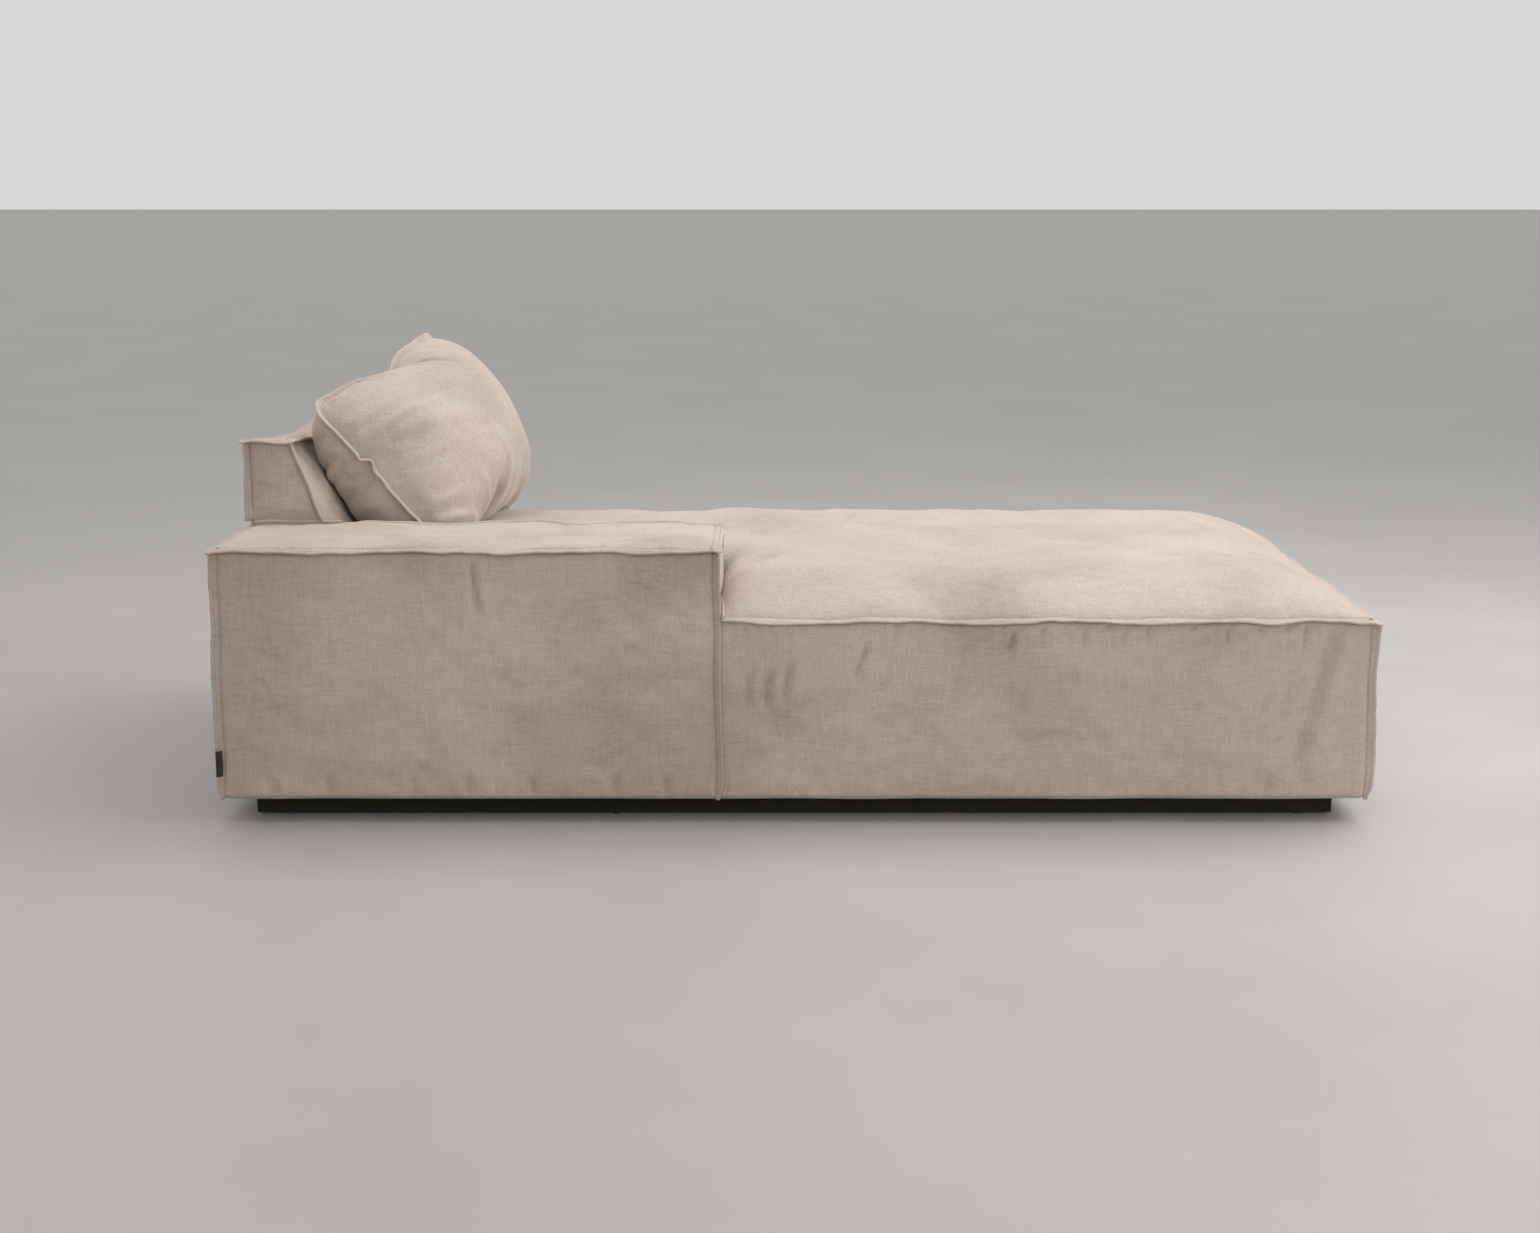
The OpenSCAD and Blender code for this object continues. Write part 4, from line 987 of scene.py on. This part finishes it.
def floor_material():
    material, graph, shader = new_material("pale_floor")
    cloud = noise(graph, 0.9, detail=6.0, rough=0.6)
    colour = ramp(graph, cloud, [(0.3, (0.42, 0.41, 0.395)), (0.7, (0.48, 0.47, 0.455))])
    graph.links.new(colour, shader.inputs["Base Color"])
    graph.links.new(ramp(graph, cloud, greys((0.3, 0.50), (0.7, 0.62))), shader.inputs["Roughness"])
    return material


velvet = velvet_material("velvet_beige")
thread = thread_material()

FINISHES = {
    "velvet": velvet,
    "tag_ribbon": cloth_material(
        "ribbon_black", (0.035, 0.035, 0.037), thread_size=0.0007, sheen=0.2, rough=0.6
    ),
    "dust_cloth": felt_material("dust_cloth_black", (0.022, 0.022, 0.023), fibre=0.0022, depth=0.0005),
    "felt": felt_material("grey_felt", (0.26, 0.25, 0.24)),
    "webbing": cloth_material("webbing_dark", (0.10, 0.10, 0.105), thread_size=0.0030, sheen=0.05),
    "zinc_steel": steel_material(),
    "nylon": nylon_material(),
    "plinth_paint": plinth_material(),
    "fibre": felt_material("white_fibre", (0.84, 0.84, 0.82), fibre=0.009, depth=0.003),
    "wadding": felt_material("white_wadding", (0.78, 0.78, 0.76), fibre=0.006, depth=0.002),
    "foam": foam_material(),
    "hardboard": wood_material(
        "hardboard_brown", (0.25, 0.15, 0.085), (0.19, 0.11, 0.06), ring=0.004, along=(1, 1, 1)
    ),
    "plywood": wood_material(
        "plywood_birch", (0.62, 0.46, 0.29), (0.50, 0.35, 0.21), ring=0.03, sheets=0.0014
    ),
    "softwood": wood_material("pine", (0.66, 0.47, 0.27), (0.50, 0.31, 0.15), ring=0.011),
}


# ---------------------------------------------------------------- riding


def current_rider(piece):
    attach(piece, RIDER[0])


RIDER = ["daybed"]


def velvet_piece(piece):
    piece.data.materials.append(velvet)
    current_rider(piece)
    return piece


def inner_piece(piece, slot):
    piece.data.materials.append(FINISHES[slot])
    current_rider(piece)
    return piece


def dress_cad_nodes():
    """Gives every CAD node the material of its slot."""
    slots = {s["node"]: s["material_slot"] for s in frame["record"]["subparts"]}
    for node, piece in frame["nodes"].items():
        for number in range(len(piece.material_slots)):
            piece.material_slots[number].material = FINISHES[slots[node]]
        if not piece.material_slots:
            piece.data.materials.append(FINISHES[slots[node]])


# ---------------------------------------------------------------- upholstered blocks


def build_blocks():
    seat = velvet_piece(seat_block("seat_upholstery"))
    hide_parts("seat_cover")
    arm = velvet_piece(arm_block("arm_upholstery"))
    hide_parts("arm_cover")
    back = velvet_piece(back_block("back_upholstery"))
    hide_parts("back_cover")

    topper = inner_piece(seat_topper("seat_topper_foam"), "foam")
    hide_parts("seat_foam_topper")
    arm_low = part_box("arm_foam_top")[0].z
    arm_pad = inner_piece(arm_block("arm_top_foam", inset=FOAM_INSET, low_z=arm_low), "foam")
    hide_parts("arm_foam_top")
    back_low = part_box("back_foam_front")[0].z
    for node in ("back_padding_arm_side", "back_padding_open_side"):
        pad = inner_piece(back_side_pad(node + "_wadding", node), "wadding")
        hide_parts(node)
    top_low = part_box("back_foam_top")[0].z
    top_pad = back_block("back_top_foam", inset=FOAM_INSET, low_z=top_low, high_share=0.60)
    inner_piece(top_pad, "foam")
    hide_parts("back_foam_top")
    back_pad = back_block("back_front_foam", inset=FOAM_INSET, low_z=back_low, low_share=0.66)
    inner_piece(back_pad, "foam")
    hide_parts("back_foam_front")


def place_seam(corners, outs, closed=False, sag=0.0):
    points, ways = seam_path(corners, outs, closed=closed)
    across = np.clip((points[:, 1] - ARM_INNER_Y) / (OPEN_Y - ARM_INNER_Y), 0, 1)
    points[:, 2] -= sag * np.sin(math.pi * across**0.85) ** 0.7
    return spread(points), ways


def build_block_flanges():
    x0, x1, y0, y1 = HEAD_X, ARM_FRONT_X, ARM_Y, ARM_INNER_Y
    z = ARM_Z
    back_x = HEAD_X + BACK_DEPTH + 0.03
    corners = [(x0, y1 - 0.004, z), (x0, y0, z), (x1, y0, z), (x1, y1, z), (back_x, y1, z)]
    outs = [(-1, 0, -DROOP), (0, -1, -DROOP), (1, 0, -DROOP), (0, 1, 0.5)]
    flange("arm_top_flange", *place_seam(corners, outs), 200)
    corners = [(x0 + 0.004, y1 - 0.001, z - 0.002), (x0 + BACK_DEPTH - 0.012, y1 - 0.001, z - 0.002)]
    flange("arm_back_flange", *place_seam(corners, [(0, -0.12, 1)]), 205)
    upright = [
        ("arm_rear_flange", (x0, y0), (HEM_Z, ARM_Z - 0.006), (-1, -0.30, 0)),
        ("arm_front_flange", (x1 - 0.001, y0), (HEM_Z, ARM_Z - 0.006), (1, -0.80, 0)),
        ("arm_inner_flange", (x1, y1), (SEAM_Z + 0.03, ARM_Z - 0.006), (1, 1, 0)),
        ("seat_foot_flange", (FOOT_X, ARM_Y), (HEM_Z, SEAM_Z - 0.004), (1, -0.35, 0)),
        ("seat_far_flange", (FOOT_X, OPEN_Y), (HEM_Z, SEAM_Z - 0.004), (1, 1, 0)),
        ("back_rear_flange", (x0, OPEN_Y), (HEM_Z, BACK_Z - 0.004), (-1, 1, 0)),
        ("back_arm_flange", (x0, y1), (ARM_Z + 0.012, BACK_Z - 0.004), (-1, -1, 0)),
        ("back_side_flange", (HEAD_X + BACK_DEPTH + 0.005, OPEN_Y), (HEM_Z, SEAM_Z - 0.004), (0.5, 1, 0)),
    ]
    for number, (name, (x, y), (low, high), out) in enumerate(upright):
        points, ways = place_seam([(x, y, low), (x, y, high)], [out])
        tucked = smooth(points[:, 2], HEM_Z, HEM_Z + 0.03)[:, None] if low == HEM_Z else 1.0
        flange(name, points, ways * (0.45 + 0.55 * tucked), 220 + 10 * number)
    start_x = ARM_FRONT_X + 0.010
    corners = [
        (start_x, ARM_Y + 0.11, SEAM_Z + 0.014), (start_x, ARM_Y, SEAM_Z), (FOOT_X, ARM_Y, SEAM_Z),
        (FOOT_X, OPEN_Y, SEAM_Z), (HEAD_X + BACK_DEPTH + 0.012, OPEN_Y, SEAM_Z),
    ]
    outs = [(0.2, -0.3, 1), (0, -1, -DROOP), (1, 0, -DROOP), (0, 1, -DROOP)]
    flange("seat_top_flange", *place_seam(corners, outs), 310)
    top = BACK_Z
    front_x = HEAD_X + BACK_TOP_DEPTH
    low_y = ARM_INNER_Y + BLOCK_GAP
    corners = [(HEAD_X, low_y, top), (front_x, low_y, top), (front_x, OPEN_Y, top), (HEAD_X, OPEN_Y, top)]
    outs = [(0, -1, -DROOP), (1, 0, 0.3), (0, 1, -DROOP), (-1, 0, -DROOP)]
    flange("back_top_flange", *place_seam(corners, outs, closed=True, sag=BACK_SAG), 320, closed=True)
    slope = (BACK_DEPTH - BACK_TOP_DEPTH) / (BACK_Z - SEAM_Z)
    for name, y, low, side, seed in (
        ("back_slope_flange_arm", low_y, ARM_Z + 0.010, -1, 330),
        ("back_slope_flange_open", OPEN_Y, SEAM_Z + 0.012, 1, 340),
    ):
        low_x = HEAD_X + BACK_DEPTH - slope * (low - SEAM_Z)
        points, ways = place_seam([(low_x, y, low), (front_x, y, top - 0.004)], [(0.55, side, 0.2)])
        flange(name, points, ways, seed)


# ---------------------------------------------------------------- pillow

PILLOW_SHEET = (0.60, 0.80)  # height and width of the cover's panels, sewn flat
PILLOW_STEP = 0.010

# Ends of the pillow's seam line on the arm side and on the open side, in x and z
PILLOW_NEAR = (Vector((HEAD_X + 0.395, 0.468)), Vector((HEAD_X + 0.122, 0.775)))
PILLOW_FAR = (Vector((HEAD_X + 0.430, 0.462)), Vector((HEAD_X + 0.250, 0.866)))
PILLOW_Y = (ARM_INNER_Y + 0.050, OPEN_Y - 0.045)
PILLOW_THICK = 0.352
PILLOW_WAIST = 0.06  # how far its sides pull in between the corners, evened out


def sewn_envelope():
    """Two flat panels sewn round their edges, just parted so that they can be blown up."""
    rows, columns = round(PILLOW_SHEET[0] / PILLOW_STEP), round(PILLOW_SHEET[1] / PILLOW_STEP)
    u = np.linspace(-0.5, 0.5, rows + 1)
    v = np.linspace(-0.5, 0.5, columns + 1)
    a, b = np.meshgrid(u, v, indexing="ij")
    lens = 0.035 * (1 - (2 * a) ** 4) * (1 - (2 * b) ** 4)
    jitter = 0.0012 * np.random.default_rng(11).normal(size=a.shape)
    points, index = [], {}
    for side in (1, -1):
        for i in range(rows + 1):
            for j in range(columns + 1):
                rim = i in (0, rows) or j in (0, columns)
                if side < 0 and rim:
                    index[side, i, j] = index[1, i, j]
                    continue
                index[side, i, j] = len(points)
                rise_here = side * (lens[i, j] + (0 if rim else jitter[i, j]))
                blunt_a, blunt_b = 1 - 0.11 * (2 * b[i, j]) ** 2, 1 - 0.09 * (2 * a[i, j]) ** 2
                across, along = a[i, j] * blunt_a * PILLOW_SHEET[0], b[i, j] * blunt_b * PILLOW_SHEET[1]
                points.append((across, along, rise_here))
    faces = []
    for side in (1, -1):
        for i in range(rows):
            for j in range(columns):
                corners = ((i, j), (i + 1, j), (i + 1, j + 1), (i, j + 1))
                loop = [index[side, *corner] for corner in corners]
                faces.append(loop if side > 0 else loop[::-1])
    rim = [index[1, i, 0] for i in range(rows)] + [index[1, rows, j] for j in range(columns)]
    rim += [index[1, i, columns] for i in range(rows, 0, -1)]
    rim += [index[1, 0, j] for j in range(columns, 0, -1)]
    return points, faces, rim


def blow_up(piece, frames=40):
    cloth = piece.modifiers.new("cloth", "CLOTH")
    settings = cloth.settings
    settings.quality = 8
    settings.mass = 0.25
    settings.tension_stiffness = 40
    settings.compression_stiffness = 12
    settings.shear_stiffness = 6
    settings.bending_stiffness = 0.6
    settings.tension_damping = settings.compression_damping = 12
    settings.shear_damping = 8
    settings.air_damping = 4
    settings.use_pressure = True
    settings.uniform_pressure_force = 5.5
    settings.effector_weights.gravity = 0
    cloth.collision_settings.use_collision = False
    cloth.point_cache.frame_start, cloth.point_cache.frame_end = 1, frames
    scene = bpy.context.scene
    for number in range(1, frames + 1):
        scene.frame_set(number)
    apply_modifiers(piece)
    scene.frame_set(1)


def lay_pillow(local):
    """Moves the blown-up pillow from its own plane to where it leans: the arm side lies flatter
    than the open side. Then it is pressed against the seat and the backrest."""
    local = np.array(local, float)
    u, v, w = local[:, 0], local[:, 1], local[:, 2]
    half_u, half_v = np.abs(u).max(), np.abs(v).max()
    rim_u = 1 - PILLOW_WAIST * (1 - (v / half_v) ** 2)
    rim_v = 1 - PILLOW_WAIST * (1 - (u / half_u) ** 2)
    u, v = u / rim_u, v / rim_v
    u, v = np.clip(u, -1.04 * half_u, 1.04 * half_u), np.clip(v, -1.04 * half_v, 1.04 * half_v)
    w = w * (PILLOW_THICK / (w.max() - w.min()))
    w += 0.012 * (1 - (u / np.abs(u).max()) ** 2) * (1 - (v / np.abs(v).max()) ** 2)
    for edge, along, amount, seed in (
        (half_v + v, u, 0.0095, 170), (half_v - v, u, 0.0012, 172),
        (half_u + u, v, 0.0050, 174), (half_u - u, v, 0.0016, 176),
    ):
        edge = np.maximum(edge, 0)
        fan = along * (1 - 0.9 * edge) + 0.25 * edge
        reach = np.maximum(0.040 + 0.030 * line_waves(along, 0.12, seed + 1), 0.015)
        w += amount * np.sign(w) * line_waves(fan, 0.052, seed) * settle(edge, 0.010) * np.exp(-edge / reach)
    share = np.clip((v / half_v + 1) / 2, 0, 1)[:, None]
    low = np.array(PILLOW_NEAR[0]) * (1 - share) + np.array(PILLOW_FAR[0]) * share
    high = np.array(PILLOW_NEAR[1]) * (1 - share) + np.array(PILLOW_FAR[1]) * share
    middle, along = (low + high) / 2, (high - low) / 2
    up = unit(along)
    front = np.stack([up[:, 1], -up[:, 0]], -1)
    stretch = np.linalg.norm(along, axis=1)
    flat = middle + up * (u / half_u * stretch)[:, None] + front * w[:, None]
    y = PILLOW_Y[0] + share[:, 0] * (PILLOW_Y[1] - PILLOW_Y[0])
    placed = np.stack([flat[:, 0], y, flat[:, 1]], -1)
    return press_pillow(placed)


def pushed(depth, soft):
    """How far a point at some depth behind a surface is moved out, easing in over a soft layer."""
    eased = (depth + soft) ** 2 / (4 * soft) * (depth < soft) + depth * (depth >= soft)
    return np.where(depth > -soft, eased, 0)


def press_pillow(placed, gap=0.0015):
    """Flattens the pillow where it rests on the seat and leans on the backrest."""
    floor_z = seat_height(placed[:, 0], placed[:, 1]) + gap
    soft = 0.012
    below = floor_z - placed[:, 2]
    placed[:, 2] += pushed(below, soft)
    depth = back_depth(placed[:, 2]) + back_swell(placed[:, 1], placed[:, 2], ARM_INNER_Y, OPEN_Y)
    wall = HEAD_X + depth + gap + 0.004
    wall = np.where(placed[:, 2] > BACK_Z + 0.01, -10, wall)
    inside = wall - placed[:, 0]
    placed[:, 0] += pushed(inside, soft)
    return placed


def ease_folds(piece, rounds=3):
    """Softens sharp folds, as a thick cover over loose fibre does."""
    work = bmesh.new()
    work.from_mesh(piece.data)
    for _ in range(rounds):
        bmesh.ops.smooth_vert(
            work, verts=work.verts, factor=0.5, use_axis_x=True, use_axis_y=True, use_axis_z=True
        )
    work.to_mesh(piece.data)
    work.free()


def straighten_seam(local, rim, rounds=40, reach=0.07):
    """Evens out the seam where it buckled as the pillow was blown up, and carries the cover near
    it along. The corners on the open side keep their pinch."""
    seam = local[rim]
    eased = seam.copy()
    hold = smooth(seam[:, 1] / np.abs(seam[:, 1]).max(), 0.55, 0.80)[:, None]
    for _ in range(rounds):
        eased = eased * 0.5 + (np.roll(eased, 1, 0) + np.roll(eased, -1, 0)) * 0.25
    moved = (eased - seam) * (1 - hold)
    apart = np.linalg.norm(local[:, None] - seam[None], axis=2)
    nearest = apart.argmin(1)
    share = np.exp(-((apart[np.arange(len(local)), nearest] / reach) ** 2))[:, None]
    return local + moved[nearest] * share


def build_pillow():
    points, faces, rim = sewn_envelope()
    pillow = mesh_object("pillow_shell", points, faces)
    blow_up(pillow)
    ease_folds(pillow)
    local = np.array([v.co for v in pillow.data.vertices], float)
    placed = lay_pillow(straighten_seam(local, rim))
    pillow.data.vertices.foreach_set("co", placed.astype(np.float32).ravel())
    pillow.data.flip_normals()
    pillow.data.update()
    seam = placed[rim]
    normals = np.array([pillow.data.vertices[i].normal for i in rim], float)
    middle = placed.mean(0)
    outward = unit(seam - middle)
    ahead = unit(np.roll(seam, -1, 0) - np.roll(seam, 1, 0))
    outward = unit(outward - ahead * (outward * ahead).sum(1)[:, None])
    outward = unit(outward + 0.2 * normals)
    outward = unit(np.roll(outward, 1, 0) + outward + np.roll(outward, -1, 0))
    filling = pillow.copy()
    filling.data = pillow.data.copy()
    filling.name = "pillow_fibre"
    bpy.context.scene.collection.objects.link(filling)
    for vertex, normal in zip(filling.data.vertices, [v.normal.copy() for v in filling.data.vertices]):
        vertex.co -= normal * 0.004
    subdivide(pillow, 1)
    velvet_piece(pillow)
    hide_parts("pillow_panel_front", "pillow_panel_rear")
    inner_piece(filling, "fibre")
    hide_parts("pillow_filling")
    fine = smooth_loop(seam, 3)
    ways = smooth_loop(outward, 3)
    flange("pillow_flange", fine, unit(ways), 400, closed=True, width=0.013, wobble=0.8)


def smooth_loop(values, parts):
    """A closed loop of points with extra ones between, on a smooth curve through them."""
    before, after, beyond = np.roll(values, 1, 0), np.roll(values, -1, 0), np.roll(values, -2, 0)
    rows = []
    for k in range(parts):
        t = k / parts
        rows.append(
            0.5 * (2 * values + (after - before) * t + (2 * before - 5 * values + 4 * after - beyond) * t**2
            + (3 * values - before - 3 * after + beyond) * t**3)
        )
    return np.stack(rows, 1).reshape(-1, values.shape[-1])


# ---------------------------------------------------------------- side tag


def build_tag():
    """A blank woven loop folded over the rear corner flange, with its ends in the seam."""
    low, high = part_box("side_tag")
    z0, z1 = low.z, high.z
    rows = np.linspace(z0, z1, 16)
    outline = [(0.0035, 0.0030), (0.0075, 0.0033), (0.0120, 0.0031), (0.0150, 0.0022), (0.0163, 0.0)]
    outline = outline + [(a, -b) for a, b in reversed(outline[:-1])]
    corner = spread(np.array([[HEAD_X, ARM_Y, z] for z in rows]))
    way = unit((-1, -1, 0))
    side = np.array([way[1], -way[0], 0])
    points, faces = [], []
    for thick in (0.0, 0.0006):
        for i, z in enumerate(rows):
            lift = 0.0004 * math.sin((z - z0) / (z1 - z0) * math.pi)
            for a, b in outline:
                grow = 1 + thick / 0.0034
                points.append(corner[i] + way * (a + thick) + side * (b * grow + math.copysign(lift, b)))
    k, n = len(outline), len(rows)
    for layer in (0, n * k):
        for i in range(n - 1):
            for q in range(k - 1):
                here = layer + i * k + q
                faces.append((here, here + 1, here + k + 1, here + k))
    top = n * k
    for i in range(n - 1):
        for q in (0, k - 1):
            faces.append((i * k + q, (i + 1) * k + q, top + (i + 1) * k + q, top + i * k + q))
    for q in range(k - 1):
        for i in (0, n - 1):
            faces.append((i * k + q, i * k + q + 1, top + i * k + q + 1, top + i * k + q))
    piece = mesh_object("side_tag_ribbon", points, faces)
    inner_piece(piece, "tag_ribbon")
    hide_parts("side_tag")


# ---------------------------------------------------------------- stage, light and camera


def build_stage():
    bpy.ops.mesh.primitive_plane_add(size=FLOOR_SIZE, location=(0, 0, 0))
    ground = bpy.context.object
    ground.name = "floor"
    ground.data.materials.append(floor_material())
    world = bpy.data.worlds.new("studio")
    bpy.context.scene.world = world
    world.use_nodes = True
    world.node_tree.nodes["Background"].inputs[0].default_value = (0.80, 0.79, 0.78, 1)
    world.node_tree.nodes["Background"].inputs[1].default_value = 0.86

    def area(name, place, aim, size, power, colour=(1, 1, 1)):
        light = bpy.data.lights.new(name, "AREA")
        light.shape = "RECTANGLE"
        light.size, light.size_y = size
        light.energy = power
        light.color = colour
        lamp = bpy.data.objects.new(name, light)
        bpy.context.scene.collection.objects.link(lamp)
        lamp.location = place
        lamp.rotation_mode = "QUATERNION"
        lamp.rotation_quaternion = (Vector(aim) - Vector(place)).to_track_quat("-Z", "Y")
        return lamp

    area("key", (2.4, 0.2, 3.0), (0.0, 0.0, 0.35), (2.6, 2.6), 76, (1.0, 0.975, 0.95))
    area("overhead", (-0.4, 0.4, 3.4), (-0.2, 0.0, 0.4), (3.5, 2.5), 26, (1.0, 0.98, 0.96))
    area("front_fill", (2.6, -4.0, 1.6), (0.4, 0, 0.3), (2.5, 2.0), 26, (1.0, 0.985, 0.97))


def build_camera():
    lens_pixels = 2010.0
    frame_width = 1540.0
    camera_data = bpy.data.cameras.new("camera")
    camera_data.sensor_width = 36.0
    camera_data.lens = 36.0 * lens_pixels / frame_width
    camera_data.dof.use_dof = False
    camera = bpy.data.objects.new("camera", camera_data)
    bpy.context.scene.collection.objects.link(camera)
    camera.location = (-0.048, ARM_Y - 3.755, 1.205)
    camera.rotation_euler = (math.radians(90 - 12.0), 0, 0)
    bpy.context.scene.camera = camera
    bpy.context.scene.view_settings.view_transform = "Standard"


build_camera()
build_stage()
dress_cad_nodes()
build_blocks()
build_block_flanges()
build_tag()
RIDER[0] = "pillow"
build_pillow()
